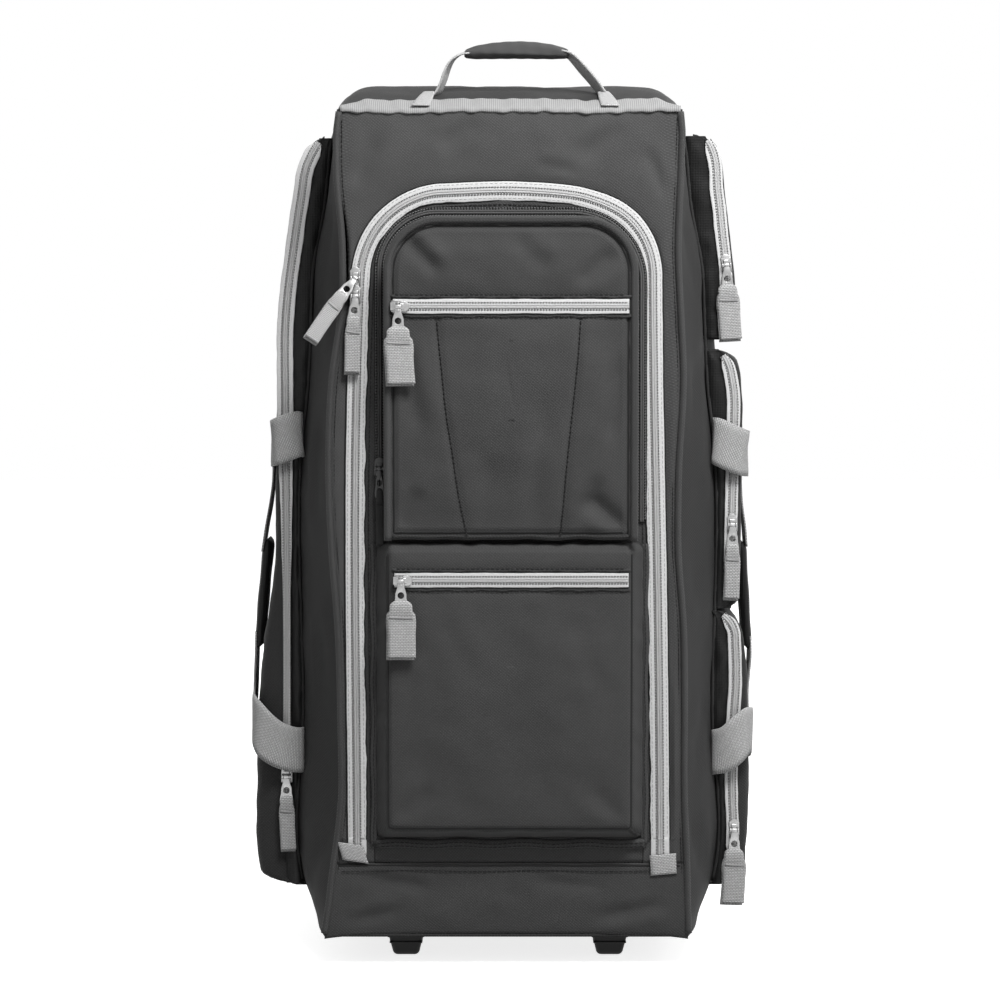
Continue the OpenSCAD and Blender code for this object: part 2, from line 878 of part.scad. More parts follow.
module right_bottom_pull() {
    place_pull(right_low_x, side_wall_y, right_low_z, pull_tab_w - 4, 0, 0);
}

/* ---- handles ---- */

top_axis_z = slope_z(front_depth - top_handle_depth) + 2;
top_grip_h = 18;

module handle_arch(i) {
    polygon([
        [i - top_handle_span, -1.5 - i / 8], [i - top_handle_span + 17, 28],
        [i - top_handle_span + 27, top_handle_rise - 4 - i],
        [top_handle_span - 27 - i, top_handle_rise - 4 - i], [top_handle_span - 17 - i, 28],
        [top_handle_span - i, -1.5 - i / 8]
    ]);
}

module handle_side() {
    polygon([[-1.5, -1.5], [1.5, -1.5], [12, 21], [12, 60], [-12, 60], [-12, 21]]);
}

module at_top_handle() {
    translate([top_handle_x, -top_handle_depth, top_axis_z]) children();
}

module top_grip_block(grow) {
    block([-top_grip_half - grow, -13, top_handle_rise - top_grip_h - grow],
          [top_grip_half + grow, 13, top_handle_rise + grow]);
}

module top_handle_strap() {
    color("#bdbdbd") at_top_handle() difference() {
        intersection() {
            front_plate(-far, far) difference() {
                handle_arch(0);
                handle_arch(webbing_t);
            }
            side_plate(-far, far) handle_side();
        }
        top_grip_block(0);
    }
}

module top_handle_grip() {
    color("#4b4b4b") at_top_handle() intersection() {
        top_grip_block(0);
        side_plate(-far, far) translate([0, top_handle_rise - top_grip_h]) polygon([
            [-12, 5], [-7, 0], [7, 0], [12, 5], [12, top_grip_h - 5], [7, top_grip_h],
            [-7, top_grip_h], [-12, top_grip_h - 5]
        ]);
    }
}

loop_off = 13;
loop_end_y = side_wall_y - 0.6;
strap_y = side_wall_y - loop_off;

// One ribbon of webbing seen from above, from the seam round the pocket's front corner
module loop_plan(side, out) {
    scale([side, 1]) polygon([
        [seam_half + 1.1, loop_end_y], [seam_half + 8, strap_y - webbing_t],
        [out - 5, strap_y - webbing_t], [out, strap_y + 2], [out, strap_y + 40],
        [out - webbing_t, strap_y + 40], [out - webbing_t, strap_y + 4], [out - webbing_t - 4, strap_y],
        [seam_half + 10, strap_y], [seam_half + 2.1, loop_end_y]
    ]);
}

// The run of a side handle beyond the pocket: stations of [height, reach] from top to bottom
module handle_run(side, stations, thick, y0, y1) {
    inner = [for (s = stations) [s[1] - thick, s[0]]];
    outer = [for (n = [len(stations) - 1:-1:0]) [stations[n][1], stations[n][0]]];
    front_plate(y0, y1) scale([side, 1]) polygon(concat(inner, outer));
}

// A side handle's webbing: two loops and the strap that joins them behind
module side_strap(side, stations, grip_y, grip_low) {
    last = stations[len(stations) - 1];
    upper_z = stations[0][0] - webbing_w;
    lower_z = last[0];
    for (l = [[upper_z, stations[0][1]], [lower_z, last[1]]])
        translate([0, 0, l[0]]) linear_extrude(webbing_w) loop_plan(side, l[1]);
    difference() {
        handle_run(side, stations, webbing_t, strap_y + 39, grip_y + webbing_w / 2);
        block([-far, strap_y, lower_z + webbing_w], [far, grip_y - webbing_w / 2, upper_z]);
        block([-far, -far, grip_low], [far, far, grip_low + side_grip_len]);
    }
}

module side_grip(side, stations, grip_y, grip_low) {
    intersection() {
        handle_run(side, stations, side_grip_t, grip_y - side_grip_half, grip_y + side_grip_half);
        block([-far, -far, grip_low], [far, far, grip_low + side_grip_len]);
    }
}

side_grip_half = webbing_w / 2 + 1;
left_grip_y = -18;
left_grip_low = left_loop_low + 101;
left_stations = [
    [left_loop_high + webbing_w, left_reach - 16], [left_loop_high - 6, left_reach - 16],
    [left_grip_low + side_grip_len, left_reach - 4], [left_grip_low, left_reach + 5.5],
    [left_loop_low + webbing_w + 8, left_reach + 5], [left_loop_low, left_reach + 5]
];
module left_handle_strap() {
    color("#8c8c8c") side_strap(-1, left_stations, left_grip_y, left_grip_low);
}

module left_handle_grip() {
    color("#1c1c1c") side_grip(-1, left_stations, left_grip_y, left_grip_low);
}

right_grip_y = 30;
right_grip_low = right_loop_low + 107;
right_stations = [
    [right_loop_high + webbing_w, right_mid_reach + 5], [right_loop_high - 2, right_mid_reach + 5],
    [right_grip_low + side_grip_len, right_mid_reach + 12], [right_grip_low, right_low_reach + 10.5],
    [right_loop_low + webbing_w + 18, right_low_reach + 6], [right_loop_low, right_low_reach + 5]
];
module right_handle_strap() {
    color("#949494") side_strap(1, right_stations, right_grip_y, right_grip_low);
}

module right_handle_grip() {
    color("#1c1c1c") side_grip(1, right_stations, right_grip_y, right_grip_low);
}

back_panel();
back_board();
left_side_panel();
right_side_panel();
top_panel();
bottom_panel();
front_surround();
front_bottom_band();
front_piping();
main_zip_frame_half();
zip_end_tabs();
top_webbing();
base_board();
wheel_housings();
wheel_axles();
front_feet();
trolley_bezel();
trolley_outer_tubes();
trolley_bracket();
left_pocket();
left_pocket_zip();
right_top_pocket();
right_middle_pocket();
right_bottom_pocket();
right_pocket_zips();
door_panel();
main_zip_door_half();
upper_pocket();
organiser_zip();
lower_pocket();
door_pocket_zips();
corner_slider();
leg_slider();
upper_pocket_slider();
organiser_slider();
lower_pocket_slider();
left_pocket_slider();
right_top_slider();
right_middle_slider();
right_bottom_slider();
corner_pull();
leg_pull();
upper_pocket_pull();
organiser_pull();
lower_pocket_pull();
left_pocket_pull();
right_top_pull();
right_middle_pull();
right_bottom_pull();
top_handle_strap();
top_handle_grip();
left_handle_strap();
left_handle_grip();
right_handle_strap();
right_handle_grip();
wheel_left();
wheel_right();
trolley_inner_tubes();
trolley_grip();
trolley_button();
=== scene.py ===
"""Dresses the packed rolling bag: woven cloth, zips, webbing, metal pullers, plastic and its studio."""

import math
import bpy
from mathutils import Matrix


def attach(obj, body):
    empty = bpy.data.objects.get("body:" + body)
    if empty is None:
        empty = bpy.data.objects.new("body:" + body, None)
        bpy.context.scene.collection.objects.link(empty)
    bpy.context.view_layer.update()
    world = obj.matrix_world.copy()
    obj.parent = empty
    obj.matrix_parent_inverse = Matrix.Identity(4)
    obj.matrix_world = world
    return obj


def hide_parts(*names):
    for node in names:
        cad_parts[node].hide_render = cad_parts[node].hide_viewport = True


bl_info = {
    "name": "Rolling bag",
    "version": (1, 0, 0),
    "blender": (4, 5, 0),
    "location": "3D View > Sidebar > Bag",
    "description": "Dresses a packed rolling bag in cloth, webbing, zips, metal and plastic",
    "category": "Object",
}

import bmesh
import bpy
import numpy as np
from bpy.props import FloatProperty, FloatVectorProperty, PointerProperty
from bpy.types import Operator, Panel, PropertyGroup
from mathutils import Matrix, Vector, noise

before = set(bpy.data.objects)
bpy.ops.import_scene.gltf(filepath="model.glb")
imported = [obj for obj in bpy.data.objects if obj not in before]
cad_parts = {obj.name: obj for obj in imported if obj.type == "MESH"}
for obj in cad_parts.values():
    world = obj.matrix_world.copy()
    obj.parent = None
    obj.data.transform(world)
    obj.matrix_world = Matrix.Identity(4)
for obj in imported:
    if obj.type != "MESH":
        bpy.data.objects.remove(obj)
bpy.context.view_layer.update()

# Places and lengths are in millimetres, with the front towards -Y, until new_piece makes metres of them.
MM = 0.001
FORWARD = (0.0, -1.0, 0.0)
CORE = (0.0, 20.0, 400.0)  # a point well inside the bag, which cloth faces away from
FRONT, FRONT_TOP = -150.0, 772.0  # the front cloth's plane and its upper seam
SEAM = -72.0  # depth of the seam between a gusset's front part and the side pockets
BASE = 27.0  # height of the bottom
HINGE = 94.0  # height of the seam that the door folds on
WALL = -74.0  # depth of the side pockets' front walls
POCKET_FACE = -178.0  # depth of the door pockets' faces
AXIS_OFF = 8.0  # how far a puller's pin stands off the zip
ZIP_HALF, ZIP_TOP, ZIP_RADIUS = 136.0, 697.0, 73.0  # the door zip's half width, top and corner radius
COIL_RISE = np.array([0, -0.9, 0])  # a coil lies this far in front of its tape


def linear(code):
    """An sRGB hex colour as the linear values that shaders take."""
    parts = [int(code[n:n + 2], 16) / 255 for n in (1, 3, 5)]
    return [c / 12.92 if c <= 0.04045 else ((c + 0.055) / 1.055) ** 2.4 for c in parts]


def colour_prop(name, text, code):
    return FloatVectorProperty(
        name=name, description=text, default=linear(code), size=3, min=0, max=1, subtype="COLOR")


def length_prop(name, text, millimetres):
    return FloatProperty(name=name, description=text, default=millimetres * MM, unit="LENGTH", precision=5)


class BagSizes(PropertyGroup):
    weave: length_prop("Weave", "Pitch of the woven cloth, drawn coarser than thread so that it shows", 2.0)
    webbing_row: length_prop("Webbing row", "Height of a row of the webbing's weave", 3.3)
    coil_pitch: length_prop("Coil pitch", "Distance between two ribs of a zip's coil", 2.6)
    stitch: length_prop("Stitch", "Length of one topstitch", 3.0)
    cloth: length_prop("Cloth", "Thickness of the padded panels", 2.4)
    wrinkle: length_prop("Wrinkle", "Depth of the soft dents in the panels", 2.6)
    pipe: length_prop("Piping", "Radius of the body's piping", 3.0)
    pocket_pipe: length_prop("Pocket piping", "Radius of the upper pocket's piping", 3.4)
    webbing: length_prop("Webbing", "Thickness of the carry webbing", 2.2)


class BagColours(PropertyGroup):
    front: colour_prop("Front cloth", "Woven polyester of the front", "#515151")
    door: colour_prop("Door cloth", "Woven polyester of the door behind its pockets", "#4a4a4a")
    # Painted shade: the same polyester as the front, drawn darker for the panels that the light strikes at a
    # slant.
    side: colour_prop("Side cloth", "Woven polyester of the gussets, top and back", "#383838")
    pocket: colour_prop("Pocket cloth", "Woven polyester of the pockets", "#494949")
    piping: colour_prop("Piping", "Cloth over the piping cord", "#4a4a4a")
    mesh: colour_prop("Mesh", "Black lining mesh of the side pockets' front walls", "#121212")
    tape: colour_prop("Zip tape", "Light zip tape", "#dedede")
    coil: colour_prop("Coil", "Nylon coil of the light zips", "#c8c8c8")
    black_tape: colour_prop("Black tape", "Black zip tape and coil", "#1d1d1d")
    webbing: colour_prop("Light webbing", "Webbing of the top strip and top handle", "#d2d2d2")
    strip: colour_prop("Seam webbing", "Ribbed webbing along the top front seam", "#a0a0a0")
    grey_webbing: colour_prop("Grey webbing", "Webbing of the side handles and tabs", "#c8c8c8")
    metal: colour_prop("Slider metal", "Zinc of the sliders and pullers", "#a2a2a2")
    plastic: colour_prop("Black plastic", "Moulded plastic of feet, housings and trolley", "#0a0a0a")
    grip: colour_prop("Grip cloth", "Cloth of the padded grips", "#515151")


def sizes():
    return bpy.context.scene.bag_sizes


def colours():
    return bpy.context.scene.bag_colours


# ---- materials ----

def add_node(tree, kind, inputs=None, **settings):
    """Adds one node, sets its settings, and fills or links its inputs."""
    node = tree.nodes.new(kind)
    for key, value in settings.items():
        setattr(node, key, value)
    for key, value in (inputs or {}).items():
        if isinstance(value, bpy.types.NodeSocket):
            tree.links.new(value, node.inputs[key])
        else:
            node.inputs[key].default_value = value
    return node


def new_material(name, settings):
    """A material with one Principled shader, set from the settings."""
    made = bpy.data.materials.new(name)
    made.use_nodes = True
    shader = made.node_tree.nodes["Principled BSDF"]
    for key, value in settings.items():
        shader.inputs[key].default_value = value
    return made, made.node_tree, shader


def tinted(tree, base, factor_low, factor_high, value):
    """The base colour, darkened and lightened between two factors as the value goes from 0 to 1."""
    shade = add_node(tree, "ShaderNodeMapRange", {
        "Value": value, "To Min": factor_low, "To Max": factor_high})
    return add_node(tree, "ShaderNodeVectorMath", {0: base, "Scale": shade.outputs[0]},
                    operation="SCALE").outputs[0]


def laid(tree):
    """Where a point lies on the cloth, by its own UVs, and on the object."""
    return (add_node(tree, "ShaderNodeUVMap", uv_map="UVMap").outputs[0],
            add_node(tree, "ShaderNodeTexCoord").outputs["Object"])


def grain_at(tree, place, scale, detail):
    return add_node(tree, "ShaderNodeTexNoise",
                    {"Vector": place, "Scale": scale, "Detail": detail}).outputs["Fac"]


def ribs_at(tree, cloth, scale, direction):
    wave = add_node(tree, "ShaderNodeTexWave", {"Vector": cloth, "Scale": scale}, bands_direction=direction)
    return wave.outputs["Fac"]


def finished(made, tree, shader, shade, height, strength, distance):
    """The material, with its colour and its relief sent to the shader."""
    tree.links.new(shade, shader.inputs["Base Color"])
    bump = add_node(tree, "ShaderNodeBump", {"Height": height, "Strength": strength, "Distance": distance})
    tree.links.new(bump.outputs[0], shader.inputs["Normal"])
    return made


def woven_polyester(name, colour, pitch, depth=0.6, roughness=0.78, contrast=0.17, sheen=0.03):
    """Woven polyester: dull yarn in a plain weave, whose crossings catch the light as small dots."""
    made, tree, shader = new_material(name, {
        "Roughness": roughness, "Sheen Weight": sheen, "Sheen Roughness": 0.4, "Specular IOR Level": 0.12})
    cloth, place = laid(tree)
    cloth = add_node(tree, "ShaderNodeMapping",
                     {"Vector": cloth, "Rotation": (0, 0, math.radians(40))}).outputs[0]
    scale = math.tau / 20 / pitch  # a wave texture makes 20 bands in 2 pi
    warp, weft = ribs_at(tree, cloth, scale, "X"), ribs_at(tree, cloth, scale, "Y")
    yarn = add_node(tree, "ShaderNodeMath", {0: warp, 1: weft}, operation="MULTIPLY").outputs[0]
    shade = tinted(tree, colour, 1 - contrast, 1 + contrast, yarn)
    shade = tinted(tree, shade, 0.9, 1.1, grain_at(tree, place, 26.0, 3.0))
    shade = tinted(tree, shade, 0.86, 1.14, grain_at(tree, place, 700.0, 1.0))
    return finished(made, tree, shader, shade, yarn, depth, 0.0004)


def polypropylene_webbing(name, colour, row, contrast=0.3):
    """Woven polypropylene webbing: thick yarns in staggered rows, with dark gaps between the rows."""
    made, tree, shader = new_material(name, {"Roughness": 0.7, "Sheen Weight": 0.05,
                                             "Specular IOR Level": 0.2})
    cloth, place = laid(tree)
    brick = add_node(tree, "ShaderNodeTexBrick", {
        "Vector": cloth, "Scale": 1.0, "Brick Width": row * 0.95, "Row Height": row * 0.48,
        "Mortar Size": row * 0.11, "Mortar Smooth": 1.0, "Bias": 0.0,
        "Color1": (1, 1, 1, 1), "Color2": (0.8, 0.8, 0.8, 1), "Mortar": (0, 0, 0, 1)}).outputs["Color"]
    shade = tinted(tree, colour, 1 - 1.6 * contrast, 1 + 0.35 * contrast, brick)
    shade = tinted(tree, shade, 0.85, 1.15, grain_at(tree, place, 900.0, 2.0))
    return finished(made, tree, shader, shade, brick, 1.0, 0.0006)


def pressed_thread(name, colour, scale, roughness, contrast=0.06):
    """Zip tape and thread: fine polyester ribs that run along the tape."""
    made, tree, shader = new_material(name, {"Roughness": roughness, "Sheen Weight": 0.03,
                                             "Specular IOR Level": 0.2})
    cloth, place = laid(tree)
    rib = ribs_at(tree, cloth, scale, "Y")
    shade = tinted(tree, colour, 1 - contrast, 1 + 0.6 * contrast, rib)
    shade = tinted(tree, shade, 0.88, 1.1, grain_at(tree, place, 600.0, 2.0))
    return finished(made, tree, shader, shade, rib, 0.35, 0.0003)


def grained_solid(name, colour, settings, grain, depth, spread):
    """A hard surface with a grain of one size: moulded plastic, cast or drawn metal, rubber."""
    made, tree, shader = new_material(name, settings)
    place = add_node(tree, "ShaderNodeTexCoord").outputs["Object"]
    fine, broad = grain_at(tree, place, 1 / grain, 3.0), grain_at(tree, place, 40.0, 2.0)
    rough = settings["Roughness"]
    wear = add_node(tree, "ShaderNodeMapRange",
                    {"Value": broad, "To Min": rough - 0.08, "To Max": rough + 0.08})
    tree.links.new(wear.outputs[0], shader.inputs["Roughness"])
    shade = tinted(tree, colour, 1 - spread, 1 + spread, fine)
    return finished(made, tree, shader, shade, fine, depth, 0.0002)


def net_cloth(name, colour):
    """Black lining mesh: knitted polyester with small round holes in staggered rows."""
    made, tree, shader = new_material(name, {"Roughness": 0.6, "Sheen Weight": 0.05,
                                             "Specular IOR Level": 0.2})
    cloth = laid(tree)[0]
    holes = add_node(tree, "ShaderNodeTexVoronoi", {"Vector": cloth, "Scale": 420.0, "Randomness": 0.15})
    holes = holes.outputs["Distance"]
    return finished(made, tree, shader, tinted(tree, colour, 0.35, 1.5, holes), holes, 0.6, 0.0005)


MADE = {}


def make_materials():
    c, s = colours(), sizes()
    MADE.update({
        "front": woven_polyester("woven_polyester_front", c.front, s.weave),
        "door": woven_polyester("woven_polyester_door", c.door, s.weave),
        # The bottom band is the front's polyester darkened by 0.82: painted shade for the low part of the
        # front.
        "band": woven_polyester("woven_polyester_band_painted_shade", [0.82 * v for v in c.front], s.weave),
        # The side cloth is the front's polyester with painted shade: darker for the gussets, top and back.
        "side": woven_polyester("woven_polyester_side_painted_shade", c.side, s.weave),
        "pocket": woven_polyester("woven_polyester_pocket", c.pocket, s.weave),
        "piping": woven_polyester("bias_cut_piping_cloth", c.piping, s.weave, roughness=0.6, sheen=0.05),
        "grip": woven_polyester("woven_grip_cloth", c.grip, s.weave * 0.7, depth=0.6, contrast=0.15),
        "mesh": net_cloth("knitted_lining_mesh", c.mesh),
        "tape": pressed_thread("light_zip_tape", c.tape, 500.0, 0.7),
        "coil": pressed_thread("nylon_coil_light", c.coil, 900.0, 0.42),
        "ribbed": pressed_thread("polypropylene_webbing_ribbed", c.strip, 170.0, 0.75, 0.26),
        "coil_seam": pressed_thread("polyester_thread_coil_seam", linear("#808080"), 900.0, 0.7),
        "dark_coil": pressed_thread("nylon_coil_dark", linear("#565656"), 900.0, 0.4),
        "black_tape": pressed_thread("black_zip_tape", c.black_tape, 500.0, 0.6),
        "webbing": polypropylene_webbing("polypropylene_webbing_light", c.webbing, 0.6 * s.webbing_row),
        "grey_webbing": polypropylene_webbing(
            "polypropylene_webbing_grey", c.grey_webbing, 0.9 * s.webbing_row, contrast=0.42),
        "thread": pressed_thread("sewing_thread_dark", linear("#1b1b1b"), 900.0, 0.6),
        "light_thread": pressed_thread("sewing_thread_light", linear("#a8a8a8"), 900.0, 0.55),
        "metal": grained_solid("nickel_plated_zinc", c.metal, {"Metallic": 1.0, "Roughness": 0.42},
                               0.0012, 0.12, 0.1),
        "black_metal": grained_solid(
            "black_lacquered_zinc", linear("#3c3c3c"), {"Metallic": 0.6, "Roughness": 0.4},
            0.0012, 0.08, 0.1),
        "plastic": grained_solid(
            "moulded_abs_black", c.plastic, {"Roughness": 0.5, "Specular IOR Level": 0.25},
            0.0009, 0.35, 0.12),
        "button": grained_solid("moulded_abs_grey", linear("#8c8c8c"), {"Roughness": 0.4}, 0.0009, 0.2, 0.05),
        "tube": grained_solid(
            "anodised_aluminium_tube", linear("#b4b6b8"), {"Metallic": 1.0, "Roughness": 0.34},
            0.0008, 0.1, 0.05),
        "steel": grained_solid(
            "zinc_plated_steel", linear("#a8a8a8"), {"Metallic": 1.0, "Roughness": 0.3}, 0.0008, 0.1, 0.06),
        "rubber": grained_solid("polyurethane_tyre", linear("#1f1f1f"), {"Roughness": 0.6}, 0.001, 0.4, 0.15),
        "hub": grained_solid("moulded_nylon_hub", linear("#3a3a3a"), {"Roughness": 0.45}, 0.0009, 0.25, 0.1),
        "board": grained_solid("pressed_fibre_board", linear("#7d7a74"), {"Roughness": 0.85},
                               0.0006, 0.5, 0.18),
    })


# ---- mesh helpers ----

def along(table, at):
    """A smooth curve through a table of (place, value) rows, read at one or more places."""
    x, y = (np.array(v, float) for v in zip(*table))
    slope = np.gradient(y, x)
    at = np.clip(np.asarray(at, float), x[0], x[-1])
    n = np.clip(np.searchsorted(x, at, "right") - 1, 0, len(x) - 2)
    span = x[n + 1] - x[n]
    t = (at - x[n]) / span
    return ((2 * t**3 - 3 * t**2 + 1) * y[n] + (t**3 - 2 * t**2 + t) * span * slope[n]
            + (3 * t**2 - 2 * t**3) * y[n + 1] + (t**3 - t**2) * span * slope[n + 1])


def ease(v):
    """A soft step from 0 to 1."""
    v = np.clip(v, 0, 1)
    return v * v * (3 - 2 * v)


def places(path):
    """How far along a path each of its points lies."""
    return np.concatenate([[0], np.cumsum(np.linalg.norm(np.diff(np.asarray(path, float), axis=0), axis=1))])


def line_at(x, y, z):
    """Points with these coordinates. Any of them may be one number for the whole line."""
    return np.stack(np.broadcast_arrays(x, y, z), -1)


def dents(points, size, seed):
    """Smooth noise from about -1 to 1 at each point, with dents about size wide."""
    shift = Vector((seed * 17.3, seed * 9.1, seed * 5.7))
    flat = np.asarray(points, float).reshape(-1, 3)
    found = [noise.noise(Vector(p) / size + shift) for p in flat]
    return np.array(found).reshape(np.shape(points)[:-1])


def flat_uv(mesh):
    """Cloth UVs in metres, laid on from whichever side a face looks to."""
    layer = mesh.uv_layers.new(name="UVMap")
    for face in mesh.polygons:
        n = [abs(v) for v in face.normal]
        a, b = ((1, 2), (0, 2), (0, 1))[n.index(max(n))]
        for loop in face.loop_indices:
            p = mesh.vertices[mesh.loops[loop].vertex_index].co
            layer.data[loop].uv = (p[a], p[b])


def new_piece(name, points, faces, material, uvs=None, picks=None):
    """A mesh object at the origin, from points in millimetres. Where material is a pair, picks choose."""
    mesh = bpy.data.meshes.new(name)
    mesh.from_pydata((np.asarray(points, float).reshape(-1, 3) * MM).tolist(), [], faces)
    mesh.update()
    mesh.shade_smooth()
    if uvs is None:
        flat_uv(mesh)
    else:
        layer = mesh.uv_layers.new(name="UVMap")
        flat = np.asarray(uvs, float).reshape(-1, 2) * MM
        for loop in mesh.loops:
            layer.data[loop.index].uv = flat[loop.vertex_index]
    for key in (material,) if isinstance(material, str) else material:
        mesh.materials.append(MADE[key])
    if picks is not None:
        mesh.polygons.foreach_set("material_index", np.asarray(picks, np.int32))
    piece = bpy.data.objects.new(name, mesh)
    bpy.context.collection.objects.link(piece)
    return piece


def reworked(piece, step):
    """Runs a bmesh step on the piece's mesh."""
    mesh = bmesh.new()
    mesh.from_mesh(piece.data)
    step(mesh)
    mesh.to_mesh(piece.data)
    mesh.free()


def grid_faces(rows, columns, closed=False):
    """Faces of a grid of points, row by row. A closed grid joins its last column to its first."""
    found = []
    for r in range(rows - 1):
        for c in range(columns if closed else columns - 1):
            a, b = r * columns + c, r * columns + (c + 1) % columns
            found.append((a, b, b + columns, a + columns))
    return found


def bar_faces(rows, columns):
    """Faces round a bar of rings, with an end cap on the first ring and on the last."""
    return grid_faces(rows, columns, closed=True) + [
        tuple(range(columns))[::-1], tuple(range((rows - 1) * columns, rows * columns))]


def sheet_piece(name, grid, material, thickness, hole=None, uvs=None):
    """A grid of points as a sheet of cloth, thickened away from its outside."""
    rows, columns = grid.shape[:2]
    faces = grid_faces(rows, columns)
    normals = np.cross(np.diff(grid, axis=1)[:-1], np.diff(grid, axis=0)[:, :-1])
    if np.sum(normals * (grid[:-1, :-1] - CORE)) < 0:
        faces = [f[::-1] for f in faces]
    if hole:
        flat = grid.reshape(-1, 3)
        faces = [f for f in faces if not hole(*flat[list(f)].mean(axis=0))]
    piece = new_piece(name, grid, faces, material, uvs)
    if hole:
        reworked(piece, lambda mesh: bmesh.ops.delete(
            mesh, geom=[v for v in mesh.verts if not v.link_faces], context="VERTS"))
    modified(piece, "SOLIDIFY", thickness=thickness, offset=-1)
    return piece


def only(piece):
    """Makes one object the selected and active one."""
    bpy.ops.object.select_all(action="DESELECT")
    piece.select_set(True)
    bpy.context.view_layer.objects.active = piece


def modified(piece, kind, **settings):
    """Adds one modifier with its settings and applies it."""
    only(piece)
    step = piece.modifiers.new(kind.lower(), kind)
    for key, value in settings.items():
        setattr(step, key, value)
    bpy.ops.object.modifier_apply(modifier=step.name)


def sweep(path, section, bars, out=FORWARD, swell=None):
    """Adds a bar along a path to bars. section is (sideways, outwards) pairs; swell may change a ring."""
    path, section = np.asarray(path, float), np.array(section, float)
    ahead = np.gradient(path, axis=0)
    ahead /= np.linalg.norm(ahead, axis=1)[:, None]
    outs = np.broadcast_to(np.asarray(out, float), path.shape).copy()
    outs -= ahead * np.sum(outs * ahead, axis=1)[:, None]
    outs /= np.linalg.norm(outs, axis=1)[:, None]
    side = np.cross(ahead, outs)
    points, uvs = [], []
    for n, along_path in enumerate(places(path)):
        ring = swell(n, section.copy()) if swell else section
        points.append(path[n] + ring[:, :1] * side[n] + ring[:, 1:] * outs[n])
        uvs.append(np.stack([places(section), np.full(len(section), along_path)], 1))
    faces = bar_faces(len(path), len(section))
    x, z = section.T
    if np.dot(x, np.roll(z, -1)) > np.dot(z, np.roll(x, -1)):
        faces = [f[::-1] for f in faces]
    bars.append((np.concatenate(points), faces, np.concatenate(uvs)))


def joined(name, bars, material):
    """One piece from several bars. Bars with a fourth entry take the second of two materials."""
    faces, picks, start = [], [], 0
    for points, bar, _, *other in bars:
        faces += [tuple(start + i for i in face) for face in bar]
        picks += [1 if other else 0] * len(bar)
        start += len(points)
    picks = None if isinstance(material, str) else picks
    points, uvs = (np.concatenate([bar[k] for bar in bars]) for k in (0, 2))
    return new_piece(name, points, faces, material, uvs, picks)


def sewn(name, bars, material, body, slot, *nodes):
    """One piece from several bars, on its body."""
    return ride(joined(name, bars, material), body, slot, *nodes)


def circle(r, count):
    """A round section."""
    return [(r * math.sin(math.tau * n / count), r * math.cos(math.tau * n / count)) for n in range(count)]


def resampled(path, step):
    """The same path with points a step apart."""
    path, place = np.asarray(path, float), places(path)
    count = max(2, int(round(place[-1] / step)) + 1)
    at = np.linspace(0, place[-1], count)
    return np.stack([np.interp(at, place, path[:, k]) for k in range(3)], axis=1)


def stitches(path, out, bars, length=None, gap=1.4, r=0.42, lift=0.25):
    """Topstitches along a path: short, sunk-in dashes of thread."""
    length = length or sizes().stitch / MM
    fine = resampled(path, (length + gap) / 4)
    outs = np.broadcast_to(np.asarray(out, float), path.shape if np.ndim(out) > 1 else (3,))
    for n in range(0, len(fine) - 3, 4):
        dash = np.array([fine[n], (fine[n] + fine[n + 3]) / 2, fine[n + 3]])
        direction = outs if outs.ndim == 1 else outs[min(n * len(outs) // len(fine), len(outs) - 1)]
        dash = dash + direction * np.array([[-r * 0.6], [lift], [-r * 0.6]])
        sweep(dash, [(-r, 0), (0, r), (r, 0), (0, -r)], bars, direction)


def arch_path(half, low, top, r, mid=0.0, y=FRONT, arc=24, right_r=None):
    """An inverted U in the front plane, from its low left end over the top to its low right end."""
    turn = [math.pi - n * math.pi / 2 / arc for n in range(arc + 1)]
    left = [(mid - half + r + r * math.cos(a), y, top - r + r * math.sin(a)) for a in turn]
    r = right_r or r
    right = [(mid + half - r - r * math.cos(a), y, top - r + r * math.sin(a)) for a in turn[::-1]]
    return np.array([(mid - half, y, low), *left, *right, (mid + half, y, low)])


def ride(piece, body, slot, *nodes):
    """Puts a piece on its body and in its slot, in place of the nodes."""
    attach(piece, body)
    if nodes:
        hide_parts(*nodes)
    return piece


# ---- the body's outline ----

# Half widths of the front edge by height, for the left and the right
EDGE = {
    -1: [(25, -166), (34, -165), (60, -161), (85, -158), (106, -155), (148, -150), (225, -150), (305, -152),
         (380, -157.5), (454, -160), (529, -157), (606, -147), (650, -147), (715, -152), (771, -152)],
    1: [(24, 163), (60, 161.5), (85, 161), (168, 158), (240, 158), (307, 157), (376, 152), (445, 152),
        (539, 156), (583, 154), (650, 151), (710, 153), (771, 155)],
}
# Half widths at the side pockets' seam and at the widest depth, by height
SEAM_X = [(27, 176), (60, 190), (81, 194), (211, 190), (489, 188), (508, 185.5), (573, 181.5), (628, 179),
          (689, 168), (740, 163), (786, 156), (800, 152)]
WIDE_X = [(27, 176), (40, 188), (60, 193), (90, 197), (560, 197), (650, 182), (745, 172),
          (778, 163), (800, 152)]
# Height of the top's middle, the drop of its side edges, and the inset of the rounded back, by depth
TOP_Z = [(-150, 772), (-130, 779.5), (-110, 786), (-50, 797.5), (0, 799.5), (110, 799.5),
         (150, 796.5), (170, 785)]
CROWN_DROP = [(-150, 0), (-139, 5), (-122, 13), (-95, 17), (60, 17), (110, 12), (135, 5), (150, 2), (170, 0)]
BACK_ROUND = [(0, 0), (110, 0), (135, 4), (155, 14), (165, 25), (170, 34)]
# The depths of the panels' columns
DEPTHS = [-150, -146, -138, -127, -115, -102, -90, -80, -72, -60, -45, -30, -10,
          12, 35, 60, 85, 110, 127, 140, 150, 158, 164, 168, 170]


